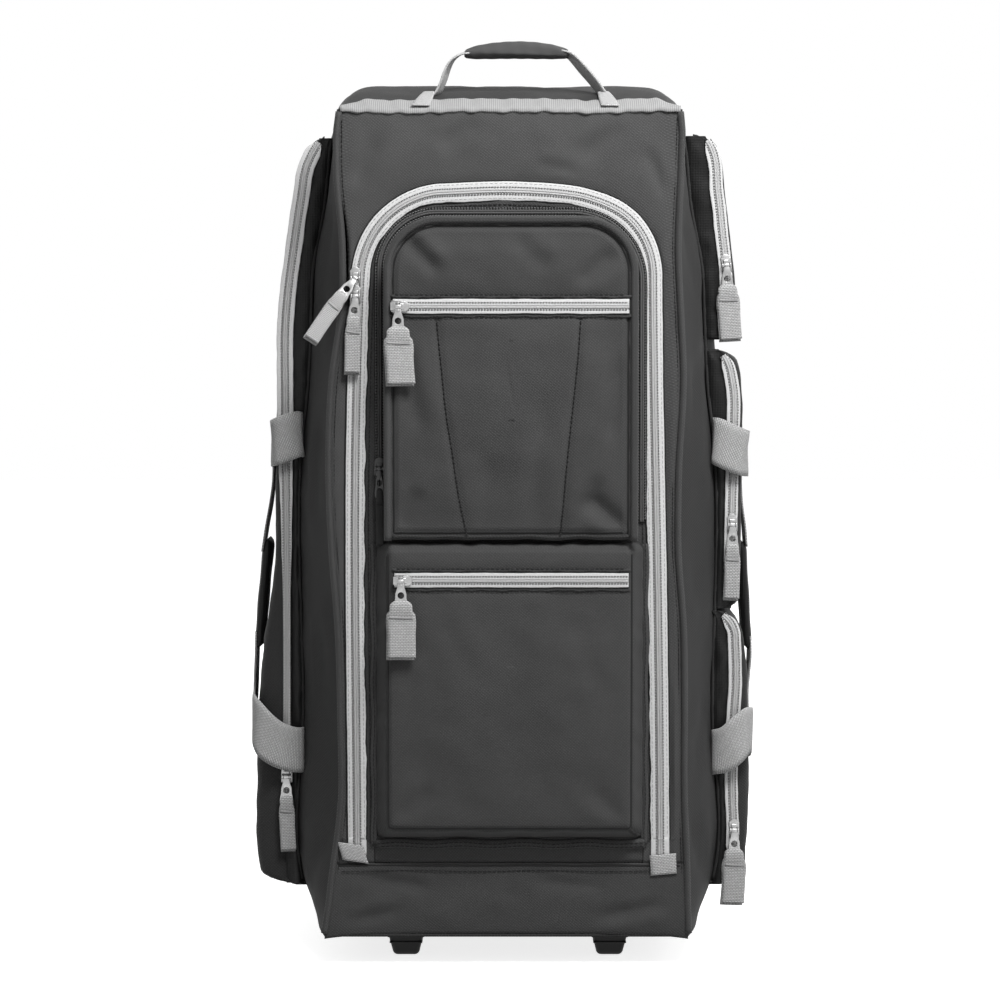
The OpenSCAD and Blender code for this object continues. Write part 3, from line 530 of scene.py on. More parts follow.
def side_x(side, y, z):
    """How far the body reaches to a side at a depth and height, without its dents."""
    front = np.abs(along(EDGE[side], z))
    seam = along(SEAM_X, z)
    wide = along(WIDE_X, z)
    if y <= SEAM:
        t = (y - FRONT) / (SEAM - FRONT)
        return front + (seam - front) * t + 2.5 * math.sin(math.pi * t)
    if y <= 0:
        t = (y - SEAM) / (0 - SEAM)
        return seam + (wide - seam) * math.sin(t * math.pi / 2)
    return wide - along(BACK_ROUND, y) * np.clip((wide - 150) / 40, 0, 1)


def crown_drop(y):
    """How far the top's side edges lie below its middle."""
    return float(along(CROWN_DROP, y))


def top_share(x, edge):
    """The share of the drop that the top has made up at x, from 0 at its side edge to 1 inside."""
    near = np.clip((edge - np.abs(x)) / 25.0, 0, 1)
    return np.sqrt(1 - (1 - near) ** 2)


def body_grid(side):
    """The points of a side panel: rows from the bottom to the top, columns from the front to the back."""
    rows = np.linspace(0, 1, 110)
    grid = np.zeros((len(rows), len(DEPTHS), 3))
    shoulder, full = 700, 800  # the outline's tables are read up to full, whatever the top's height
    for c, y in enumerate(DEPTHS):
        top = float(along(TOP_Z, y)) - crown_drop(y)
        z = BASE + rows * (top - BASE)
        squash = 0.72 if y < -140 else 1
        level = np.where(z > shoulder,
                         shoulder + (z - shoulder) * (full - shoulder) / (top - shoulder) * squash, z)
        grid[:, c] = line_at(side * side_x(side, y, level), y, z)
    return grid


def creases(grid, lines, across=0, push=1, sign=1.0):
    """Presses soft folds into a grid. A line is its start and end places, its width and its depth."""
    u, z = grid[..., across], grid[..., 2]
    for (u0, z0), (u1, z1), width, depth in lines:
        length = math.hypot(u1 - u0, z1 - z0)
        du, dz = (u1 - u0) / length, (z1 - z0) / length
        t = ((u - u0) * du + (z - z0) * dz) / length
        off = (z - z0) * du - (u - u0) * dz
        ends = ease(np.minimum(t, 1 - t) / 0.3)
        hollow = np.exp(-(off / width) ** 2)
        ridge = 0.45 * np.exp(-((off - 1.7 * width) / width) ** 2)
        grid[..., push] += sign * depth * ends * (hollow - ridge)


def creased(grid, lines, share):
    """Presses folds into the grid by their share of each place."""
    bent = grid.copy()
    creases(bent, lines)
    grid[..., 1] += share * (bent - grid)[..., 1]


def fade(values, edge):
    """From 0 at both ends of a row of places to 1 inside, over the length edge."""
    values = np.asarray(values, float)
    near = np.minimum(values - values.min(), values.max() - values)
    return np.clip(near / edge, 0, 1) ** 0.7


# The soft folds of each side, between two (depth, height) places
GUSSET_FOLDS = {
    -1: [((-118, 700), (-98, 560), 7, 2.6), ((-128, 520), (-108, 380), 8, 2.2),
         ((-110, 330), (-125, 200), 7, 2.4), ((-140, 130), (-95, 60), 9, 3.2),
         ((-92, 640), (-100, 500), 5, 1.8)],
    1: [((-122, 690), (-96, 590), 7, 2.8), ((-105, 560), (-128, 450), 8, 2.4),
        ((-130, 400), (-100, 300), 7, 2.6), ((-100, 250), (-122, 150), 7, 2.2),
        ((-138, 140), (-100, 62), 9, 3.2)],
}


def build_sides():
    for side, name in ((-1, "left"), (1, "right")):
        grid = body_grid(side)
        share = fade(grid[:, 5, 2], 30)[:, None] * fade(grid[50, :, 1], 18)[None, :]
        grid[..., 0] += side * share * (sizes().wrinkle / MM) * (
            dents(grid * (1, 1, 0.45), 46, 3 + side) + 0.5 * dents(grid * (1, 1, 0.7), 19, 8 + side) - 0.35)
        creases(grid, GUSSET_FOLDS[side], across=1, push=0, sign=-side)
        piece = sheet_piece(name + "_gusset_cloth", grid, "side", sizes().cloth)
        ride(piece, "root", "side_cloth", name + "_side_panel")


def cross_grid(at_top):
    """The top or the bottom strip, from the left panel's edge to the right one's."""
    left, right = (body_grid(side)[-1 if at_top else 0] for side in (-1, 1))
    across = (0.5 - 0.5 * np.cos(np.linspace(0, math.pi, 60)))[:, None, None]
    grid = left[None] + (right - left)[None] * across
    if at_top:
        drop = np.array([crown_drop(y) for y in DEPTHS])[None, :]
        middle, half = (left + right)[None, :, 0] / 2, (right - left)[None, :, 0] / 2
        grid[..., 2] += drop * top_share(grid[..., 0] - middle, half)
    return grid


def build_top():
    grid = cross_grid(True)
    share = fade(grid[:, 5, 0], 45)[:, None] * fade(grid[20, :, 1], 15)[None, :]
    grid[..., 2] += share * (1.0 + 2.0 * dents(grid, 55, 21) + dents(grid, 20, 22))
    under_bezel = (grid[..., 1] > 133) & (np.abs(grid[..., 0]) < 114)
    grid[..., 2] = np.where(under_bezel, np.minimum(grid[..., 2], 797), grid[..., 2])
    piece = sheet_piece("top_cloth", grid, "side", sizes().cloth,
                        hole=lambda x, y, z: abs(x) < 105 and 140 < y < 167.5)
    ride(piece, "root", "side_cloth", "top_panel")


def build_bottom():
    piece = sheet_piece("bottom_cloth", cross_grid(False), "side", sizes().cloth)
    ride(piece, "root", "side_cloth", "bottom_panel")


def build_back():
    left, right = body_grid(-1)[:, -1], body_grid(1)[:, -1]
    across = np.linspace(0, 1, 70)[None, :, None]
    grid = left[:, None] + (right - left)[:, None] * across
    share = fade(grid[:, 5, 2], 25)[:, None] * fade(grid[50, :, 0], 20)[None, :]
    grid[..., 1] += share * (1.5 + 2.0 * dents(grid, 60, 31) + dents(grid, 24, 32))
    for x in (-70, 70):  # over the trolley's tubes
        grid[..., 1] += 3.5 * share * np.exp(-((grid[..., 0] - x) / 12) ** 4)
    under = ease((grid[..., 2] - 735) / 26) * ease((128 - np.abs(grid[..., 0])) / 10)
    grid[..., 1] += under * np.minimum(168.6 - grid[..., 1], 0)
    piece = sheet_piece("back_cloth", grid, "side", sizes().cloth)
    ride(piece, "root", "side_cloth", "back_panel")
    bars = []
    heights = np.linspace(110, 735, 120)
    for x in (-88, -52, 52, 88):
        column = grid[:, int(np.argmin(np.abs(grid[50, :, 0] - x)))]
        stitches(line_at(x, np.interp(heights, column[:, 2], column[:, 1]) + 0.3, heights), (0, 1, 0), bars)
    sewn("back_stitching", bars, "thread", "root", "side_cloth")


def front_crown(x, z):
    """How far the front stands out between its seams."""
    return 1.6 * dents(line_at(x, 0.0, z * 0.6), 60, 41) + 0.8 * dents(line_at(x, 0.0, z), 22, 42)


def outline_point(share):
    """The front's outer edge at a share from 0 to 3: from the low left, over the top, to the low right."""
    if 1 <= share < 2:
        left, right = (float(along(EDGE[side], FRONT_TOP)) for side in (-1, 1))
        return left + (share - 1) * (right - left), FRONT_TOP
    side, rise = (-1, share) if share < 1 else (1, 3 - share)
    z = HINGE + rise * (FRONT_TOP - HINGE)
    return float(along(EDGE[side], z)), z


def build_surround():
    offset = 7.2
    half, top, r = ZIP_HALF + offset, ZIP_TOP + offset, ZIP_RADIUS + offset
    inner = resampled(arch_path(half, HINGE, top, r, arc=60), 3.2)
    leg, bend, flat = top - r - HINGE, r * math.pi / 2, half - r
    start = leg / (FRONT_TOP - HINGE)
    begin = 1 + (152 - half + r) / 307  # where the flat top starts, on an upper seam from -152 to 155
    place = places(inner)
    columns = 26
    grid, cover = np.zeros((len(inner), columns, 3)), np.zeros((len(inner), columns))
    for n, at in enumerate(place):
        mirrored = at > place[-1] / 2
        d = place[-1] - at if mirrored else at
        if d <= leg:
            share = start * d / leg
        elif d <= leg + bend:
            share = start + (begin - start) * (d - leg) / bend
        else:
            share = begin + (1.5 - begin) * (d - leg - bend) / flat
        ox, oz = outline_point(min(max(3 - share if mirrored else share, 0), 3))
        ix, _, iz = inner[n]
        if iz < 117:  # below the zip's tabs the cloth closes in
            ix -= math.copysign(22.5 * min(1, (117 - iz) / 3), ix)
        wide = math.hypot(ox - ix, oz - iz)
        hem = 3.6 / wide
        for k in range(columns):
            t = min(1.0, 0.9 * k / wide) if k < 4 else hem + (1 - hem) * (k - 4) / (columns - 5)
            x = ix + (ox - ix) * t
            away = abs(x) - half if iz < top - r else t * wide
            cover[n, k] = min(1, max(0, away - 1.5) / 5) * max(0.0, math.sin(math.pi * t)) ** 0.6
            grid[n, k] = (x, FRONT + 0.3 - 2.2 * cover[n, k], iz + (oz - iz) * t)
    edge = cover * np.clip(np.arange(columns) - 3, 0, 4)[None, :] / 4
    grid[..., 1] -= edge * front_crown(grid[..., 0], grid[..., 2])
    folds = [((-146, 700), (-120, 752), 8, 2.6), ((-70, 735), (-20, 764), 9, 2.0),
             ((60, 728), (118, 760), 9, 2.4), ((20, 722), (70, 716), 6, 1.5),
             ((128, 742), (149, 690), 6, 2.2)]
    creased(grid, folds, edge)
    piece = settle(sheet_piece("front_surround_cloth", grid, "front", sizes().cloth))
    ride(piece, "root", "front_cloth", "front_surround")


def build_bottom_band():
    columns, rows = 90, 26
    grid = np.zeros((rows, columns, 3))
    for r in range(rows):
        t = r / (rows - 1)
        for c in range(columns):
            s = 2 * c / (columns - 1) - 1
            low = 30 - 5 * abs(s) ** 5
            z = HINGE + 0.4 + (low - HINGE - 0.4) * t
            left, right = float(along(EDGE[-1], z)), float(along(EDGE[1], z))
            x = left + (right - left) * (s + 1) / 2
            grid[r, c] = (x, FRONT - 2.6 * math.sin(math.pi * min(1, t * 1.02)) ** 0.5, z)
    share = np.sin(np.linspace(0, math.pi, rows))[:, None] ** 0.6 * fade(np.arange(columns), 5)[None, :]
    grid[..., 1] -= share * (1.2 * dents(grid * (1, 1, 1.5), 40, 51) + 0.9 * dents(grid, 16, 52))
    creases(grid, [((-140, 84), (-60, 70), 6, 1.8), ((150, 60), (70, 42), 7, 2.6),
                   ((20, 80), (90, 72), 5, 1.2), ((-150, 40), (-90, 52), 6, 1.8)])
    # Its cloth is the front's, made darker by painted shade.
    piece = sheet_piece("bottom_band_cloth", grid, "band", sizes().cloth)
    ride(piece, "root", "front_cloth", "front_bottom_band")
    bars = []
    x = np.arange(-150, 155, 5)
    stitches(line_at(x, FRONT - 2.7, HINGE - 6.5 + 0.5 * np.sin(x / 19)), FORWARD, bars, lift=0.4)
    x = np.linspace(-153, 155, 120)
    sweep(line_at(x, FRONT - 0.8, HINGE - 1.8 + 0.2 * np.sin(x / 13)), circle(1.0, 6), bars)
    sewn("band_stitching", bars, "thread", "root", "front_cloth")


def build_piping():
    r = sizes().pipe / MM
    pipes, row = [], []
    for side in (-1, 1):
        z = np.linspace(31, 769.5, 190)
        x = along(EDGE[side], z) + side * (0.8 - 0.12 * np.clip(z - 752, 0, 20))
        sweep(line_at(x, FRONT - r * 0.6 + 0.1 * np.clip(z - 755, 0, 20), z), circle(r, 10), pipes)
        z = np.linspace(36, 765, 160)
        stitches(line_at(along(EDGE[side], z) - side * 4.2, FRONT - 1.4, z), FORWARD, row, r=0.35, lift=0.1)
    sewn("body_piping", pipes, "piping", "root", "piping_cloth", "front_piping")
    sewn("piping_stitching", row, "thread", "root", "front_cloth")


# ---- zips ----

def settle(piece):
    """Leans the upper ends of the door's zip inwards and crowns its arch, with the cloth beside it."""
    mesh = piece.data
    flat = np.zeros(len(mesh.vertices) * 3, np.float32)
    mesh.vertices.foreach_get("co", flat)
    at = flat.reshape(-1, 3)
    x, z = at[:, 0] / MM, at[:, 2] / MM
    left = along([(94, 0), (500, 0), (600, 3), (650, 5.5), (690, 6), (772, 6)], z)
    right = along([(94, -1.5), (240, 0), (385, 2.5), (500, 5), (600, 6.5), (700, 7), (772, 7)], z)
    inside, outside = ease((np.abs(x) - 35) / 60), ease((np.abs(x) - 145) / 8)
    high = np.clip((z - 640) / 40, 0, 1) * np.clip((766 - z) / 55, 0, 1)
    at[:, 0] += np.where(x < 0, left, -right) * inside * (1 - outside) * MM
    at[:, 2] += high * (2.6 * np.exp(-((x + 5) / 48) ** 2) - 3.2 * np.exp(-((x - 84) / 30) ** 2)) * MM
    mesh.vertices.foreach_set("co", flat)
    mesh.update()
    return piece


def coil_half(path, side, out, bars):
    """One half of a nylon coil: a low bar with a rib at each turn of the coil, and the seam that holds it."""
    pitch = sizes().coil_pitch / MM
    fine = resampled(path, pitch / 2)
    section = [(0.0, 0.0), (0.0, 1.5), (side * 1.2, 1.9), (side * 2.2, 1.5), (side * 2.9, 0.0)]
    sweep(fine, section[::-side], bars, out, lambda n, ring: ring * ((1.0, 1.0) if n % 2 else (0.62, 0.3)))
    beside = np.cross(np.gradient(fine, axis=0), np.broadcast_to(np.asarray(out, float), fine.shape))
    beside /= np.linalg.norm(beside, axis=1)[:, None]
    seam = []
    stitches(fine + side * 3.3 * beside, out, seam, length=pitch * 0.5, gap=pitch * 0.5, r=0.5, lift=0.75)
    bars += [(*bar, "seam") for bar in seam]


def tape_half(path, side, half, out, bars, ragged, seed, edge_shadow=None, slim=0.0):
    """Half of a zip's tape. Its far edge wanders by ragged, rim takes a cord, and slim thins its low end."""
    fine = resampled(path, 2.5)
    steps = line_at(np.arange(len(fine)) * 2.5, 0.0, 0.0)
    wander = ragged * (dents(steps, 17, seed) + 0.35 * dents(steps, 5, seed + 3))

    def edge(n, ring):
        ring[np.abs(ring[:, 0]) > 2, 0] += side * wander[n]
        if slim:
            ring[:, 0] *= math.sqrt(min(1.0, 0.04 + min(n, len(fine) - 1 - n) / 4.5))
            ring[:, 0] *= slim + (1 - slim) * float(ease((n / len(fine) - 0.25) / 0.4))
        return ring

    section = [(0.0, 0.0), (0.0, 0.8), (side * min(3.4, half - 1), 0.95), (side * (half - 0.6), 1.45),
               (side * half, 1.1), (side * half, 0.0)]
    sweep(fine, section[::side], bars, out, edge)
    # The cord is the cloth's rolled edge in dark thread: painted shadow along the tape.
    if edge_shadow is not None:
        sweep(fine, circle(0.8, 6), edge_shadow, out, lambda n, ring: ring + (side * (half + 0.3 + wander[n]), 0.75))


def build_main_zip():
    path = arch_path(ZIP_HALF, HINGE + 22, ZIP_TOP, ZIP_RADIUS, arc=40)
    ends = [np.array([(x, FRONT, HINGE + 24), (x, FRONT, low)])
            for x, low in ((-ZIP_HALF, 102), (ZIP_HALF, 92))]
    for side, name, node, body, ragged in (
            (-1, "frame", "main_zip_frame_half", "root", 0.25),
            (1, "door", "main_zip_door_half", "door", 1.3)):
        tape, coil, edge_shadow = [], [], []
        tape_half(path, side, 8.5, FORWARD, tape, ragged, 5 + side, edge_shadow)
        coil_half(path + COIL_RISE, side, FORWARD, coil)
        if side < 0:
            for line in ends:
                for half in (-1, 1):
                    tape_half(line, half, 8.3, FORWARD, tape, 0.2, 3)
                    coil_half(line + np.array([0, -0.8, 0]), half, FORWARD, coil)
        ride(settle(joined(name + "_zip_tape", tape, "tape")), body, "zip_tape", node)
        ride(settle(joined(name + "_zip_coil", coil, ("coil", "coil_seam"))), body, "zip_tape")
        # A dark cord of painted shadow where the cloth rolls over the tape's edge.
        ride(settle(joined(name + "_zip_edge_shadow", edge_shadow, "thread")), body, "front_cloth")
        row = []
        offset = -side * 6.6
        hem = arch_path(ZIP_HALF + offset, HINGE + 24, ZIP_TOP + offset, ZIP_RADIUS + offset, y=FRONT - 1.3)
        stitches(hem, FORWARD, row, r=0.28, lift=0.05)
        ride(settle(joined(name + "_zip_stitching", row, "light_thread")), body, "zip_tape")


def ribbon(stations, width, thick, bars, columns=7, step=4.0):
    """Adds a strip of webbing to bars, along stations of (centre, direction across). Its UVs run along it."""
    centres, across = (np.array([station[k] for station in stations], float) for k in (0, 1))
    place = places(centres)
    count = max(4, int(place[-1] / step))
    at = np.linspace(0, place[-1], count)
    centres, across = (np.stack([along(list(zip(place, way[:, k])), at) for k in range(3)], 1)
                       for way in (centres, across))
    across /= np.linalg.norm(across, axis=1)[:, None]
    ahead = np.gradient(centres, axis=0)
    ahead /= np.linalg.norm(ahead, axis=1)[:, None]
    out = np.cross(across, ahead)
    widths = width if np.ndim(width) else np.full(count, width)
    widths = np.interp(np.linspace(0, 1, count), np.linspace(0, 1, len(widths)), widths)
    points, uvs = [], []
    for n in range(count):
        for face in (1, -1):
            for k in range(columns):
                t = (2 * k / (columns - 1) - 1) * face
                edge = thick * 0.18 if k in (0, columns - 1) else 0.0
                points.append(centres[n] + across[n] * t * widths[n] / 2 + out[n] * face * (thick / 2 - edge))
                uvs.append((t * widths[n] / 2, at[n]))
    bars.append((np.array(points), bar_faces(count, 2 * columns), np.array(uvs)))


def build_end_tabs():
    bars = []
    for (x0, z0), (x1, z1), slope in (
            ((-142.2, 112.6), (-137.4, 96.2), -0.16), ((139.6, 103.0), (140.6, 84.5), 0.08)):
        rows = []
        for t in (0, 0.15, 0.5, 0.85, 1.0):
            bulge = 0.5 * max(0.0, math.sin(math.pi * t)) ** 0.5
            rows.append(((x0 + (x1 - x0) * t, FRONT - 3.0 - bulge, z0 + (z1 - z0) * t), (1, 0.03, slope)))
        ribbon(rows, [24, 23.4, 23.6, 23.2, 24], 2.0, bars, step=2.0)
    sewn("end_tab_webbing", bars, "grey_webbing", "root", "grey_webbing", "zip_end_tabs")


def build_door():
    rows = []
    half, top, r = ZIP_HALF - 6.8, ZIP_TOP - 6.8, ZIP_RADIUS - 6.8
    levels = list(np.linspace(HINGE + 0.8, top - r, 130))
    levels += [top - r + r * math.sin(a) for a in np.linspace(0.05, math.pi / 2, 26)]
    for z in levels:
        wide = half if z <= top - r else half - r + math.sqrt(max(0.0, r * r - (z - top + r) ** 2))
        if z < 114:
            wide -= 9 * min(1, (114 - z) / 3)
        inset = np.array([0, 1.5, 3, 6, 11, 18, 26])
        middle = np.linspace(26, 2 * wide - 26, 44)[1:-1]
        rows.append(line_at(np.concatenate([inset, middle, 2 * wide - inset[::-1]]) - wide, FRONT, z))
    grid = np.array(rows)
    share = np.clip(fade(np.arange(grid.shape[1]), 5) * 1.6 - 0.6, 0, 1)[None, :]
    share = fade(np.arange(grid.shape[0]), 4)[:, None] * share
    grid[..., 1] += 0.3
    grid[..., 1] -= share * (1.4 + 1.3 * dents(grid * (1, 1, 0.5), 30, 61) + 0.7 * dents(grid, 13, 62))
    piece = settle(sheet_piece("door_cloth", grid, "door", sizes().cloth))
    ride(piece, "door", "front_cloth", "door_panel")
    bars = []
    hem = arch_path(ZIP_HALF - 12.4, HINGE + 24, ZIP_TOP - 12.4, ZIP_RADIUS - 12.4, y=FRONT - 2.0)
    stitches(hem, FORWARD, bars, lift=0.2)
    ride(settle(joined("door_stitching", bars, "thread")), "door", "front_cloth")


# ---- pockets on the door ----

RING_STEP = 2.2  # between two points of a pocket's ring


def arch_rings(left, right, low, top, r, low_r, insets):
    """Rings of (x, z) points round a pocket, each further in than the last."""
    half, mid = (right + left) / 2, (right - left) / 2
    count = int((4 * half + 2 * (top - low)) / RING_STEP)
    keys = [0, 12, 37, 62, 87, 100]  # from the foot's middle to each corner's middle, and back
    shares = [0, 0.11, 0.38, 0.62, 0.89, 1.0]
    rings = []
    for a in insets:
        h, t, b = half - a, top - max(a, 0.0), low + a
        rt, rl = max(r - max(a, 0), 1.5), max(low_r - max(a, 0), 1.0)
        line = []
        for cx, cz, rad, start in ((h - rl, b + rl, rl, -0.5), (h - rt, t - rt, rt, 0.0),
                                   (rt - h, t - rt, rt, 0.5), (rl - h, b + rl, rl, 1.0)):
            for k in range(25):
                angle = math.pi * (start + 0.5 * k / 24)
                line.append((cx + rad * math.cos(angle), cz + rad * math.sin(angle)))
        line = np.array(line + line[:1])
        ring = []
        for part in range(5):
            seg = line[keys[part]:keys[part + 1] + 1]
            place = places(seg)
            n = max(2, int(round(count * (shares[part + 1] - shares[part]))))
            at = np.linspace(0, max(place[-1], 1e-6), n + 1)[:-1]
            ring.append(np.stack([np.interp(at, place, seg[:, 0]), np.interp(at, place, seg[:, 1])], 1))
        rings.append(np.concatenate(ring) + (mid, 0))
    return rings


# A pocket's rings: how far each lies inside the pocket's outline, and how far towards its face
POCKET_INSETS = [0, 0.2, 0.5, 1.0, 2.0, 3.4, 5.2, 7.5, 10.5, 14]
POCKET_RISE = [0, 0.22, 0.45, 0.66, 0.8, 0.89, 0.945, 0.975, 0.99, 1.0]


def pocket_grid(left, right, low, top, r, low_r, zip_z, seed, crown, seam, groove, folds,
                flare=0.0, shift=0.0):
    """A pocket on the door: a wall all round, a sewn edge, a softly crowned face, and a zip across it."""
    insets = [a - flare * (1 - rise) ** 1.7 for a, rise in zip(POCKET_INSETS, POCKET_RISE)]
    rings = arch_rings(left, right, low, top, r, low_r, insets)
    wide, mid_x = (left + right) / 2, (right - left) / 2
    aim = np.stack([np.full(len(rings[-1]), mid_x), np.clip(rings[-1][:, 1], low + wide, top - wide)], 1)
    rings += [rings[-1] + (aim - rings[-1]) * t for t in np.linspace(0, 1, 42)[1:-1]]
    rise = np.array(POCKET_RISE + [1.0] * (len(rings) - len(POCKET_RISE)))[:, None]
    flat = np.array(rings)
    grid = line_at(flat[..., 0], FRONT - (FRONT - POCKET_FACE) * rise, flat[..., 1])
    x, z = grid[..., 0], grid[..., 2]

    def inner(margin, reach):
        return (ease((wide - np.abs(x - mid_x) - margin) / reach) * ease((z - low - margin) / reach)
                * ease((top - z - margin) / reach))

    near_zip = np.exp(-((z - zip_z) / 14) ** 2)
    lower = np.clip((zip_z - z) / (zip_z - low), 0, 1)
    upper = np.clip((z - zip_z) / (top - zip_z), 0, 1)
    rounded = (1 - ((x - mid_x) / wide) ** 2)
    free = inner(6, 26) * (1 - near_zip)
    grid[..., 1] -= free * rounded * (crown[0] * np.sin(math.pi * lower) + crown[1] * np.sin(math.pi * upper))
    soft, fine = dents(line_at(x, 0.0, z * 0.8), 52, seed), dents(line_at(x, 0.0, z), 21, seed + 1)
    grid[..., 1] -= free * (2.8 * soft + 0.8 * fine)
    creased(grid, folds, inner(7, 8) * (1 - near_zip))
    grid[seam, :, 1] += groove
    grid[seam + 1, :, 1] -= 0.5
    wall = np.array([1.0 if 0 < k < seam else 0.0 for k in range(len(grid))])[:, None]
    around = np.cumsum(np.full(grid.shape[1], RING_STEP))[None, :]
    pucker = wall * (0.8 * np.sin(around / 5.1) * np.sin(around / 37) + 0.5 * np.sin(around / 3.3 + 1))
    inward = np.array([mid_x, 0, (low + top) / 2]) - grid
    inward[..., 1] = 0
    inward /= np.maximum(np.linalg.norm(inward, axis=-1), 1e-6)[..., None]
    return grid + inward * pucker[..., None] * 0.7 + (shift, 0, 0)


def seam_line_painted_shade(grid, row, below, r, bars):
    """A dark sewn line along one ring of a pocket, where the ring lies lower than below."""
    ring = grid[row]
    keep = ring[:, 2] < below
    first = next((n for n in range(len(ring)) if keep[n] and not keep[n - 1]), 0)
    ring, keep = np.roll(ring, -first, axis=0), np.roll(keep, -first)
    sweep(ring[keep] + np.array([0, -0.15, 0]), circle(r, 6), bars)


def pocket_piece(name, grid, material):
    """One closed piece from a pocket's rings: the last ring is closed across, from side to side."""
    rows, columns = grid.shape[:2]
    faces = grid_faces(rows, columns, closed=True)
    last = (rows - 1) * columns
    top = int(np.argmax(grid[-1, :, 2] - 0.001 * np.abs(grid[-1, :, 0] - grid[-1, :, 0].mean())))
    order = [last + (top + k) % columns for k in range(columns)]
    for k in range(columns // 2):
        faces.append(tuple(dict.fromkeys([order[-k % columns], order[k], order[k + 1], order[-k - 1]])))
    faces.append(tuple(range(columns)))
    piece = new_piece(name, grid, [f for f in faces if len(f) > 2], material)
    reworked(piece, lambda mesh: bmesh.ops.recalc_face_normals(mesh, faces=mesh.faces))
    piece.data.shade_smooth()
    return piece


def cross_zip(prefix, z, x0, x1, cloth, replaced=()):
    """A light zip across a pocket: tape, coil, the two folds of cloth beside it and their topstitching."""
    path = np.array([(x0, POCKET_FACE + 0.2, z), (x1, POCKET_FACE + 0.2, z)])
    tape, coil, folds, edge_shadow, row = [], [], [], [], []
    for side in (-1, 1):
        tape_half(path, side, 6.6, FORWARD, tape, 0.45, z + side, edge_shadow)
        coil_half(path + COIL_RISE, side, FORWARD, coil)
        x = np.linspace(x0 - 2, x1 + 2, 90)
        edge = z + side * (8.6 + 0.6 * np.sin(x / 7.0 + side) * np.sin(x / 3.1))
        sweep(line_at(x, POCKET_FACE + 0.5, edge), circle(1.5, 6), folds)
        stitches([(x0 + 2, POCKET_FACE - 0.9, z + side * 10.0), (x1 - 2, POCKET_FACE - 0.9, z + side * 10.0)],
                 FORWARD, row, r=0.35, lift=0.1)
    sewn(prefix + "_zip_tape", tape, "tape", "door", "zip_tape", *replaced)
    sewn(prefix + "_zip_coil", coil, ("coil", "coil_seam"), "door", "zip_tape")
    sewn(prefix + "_zip_folds", folds, cloth, "door", "pocket_cloth")
    # A dark cord of painted shadow where the cloth's folds meet the tape.
    sewn(prefix + "_zip_edge_shadow", edge_shadow, "thread", "door", "pocket_cloth")
    sewn(prefix + "_zip_topstitching", row, "thread", "door", "pocket_cloth")


# Both pockets' outlines: reach to each side, bottom, top, and the radius of the upper and the lower corners
UPPER = {"left": 109, "right": 114, "low": 388, "top": 675, "r": 48, "low_r": 7}
LOWER = {"left": 106, "right": 117, "low": 127, "top": 385, "r": 8, "low_r": 7}
UPPER_MID = 2.5  # the upper pocket's middle, right of the bag's
LOWER_ZIP, UPPER_ZIP = 354, 597  # heights of the zips across them
# The two sewn darts below the upper pocket's zip, as (height, x)
DARTS = [[(585, -63.2), (566, -61.5), (539, -58.7), (503, -55), (468, -49.5), (432, -44.3), (393, -36.5)],
         [(585, 64.1), (560, 62.5), (530, 59.8), (490, 55.5), (450, 51.5), (420, 49), (393, 46.3)]]


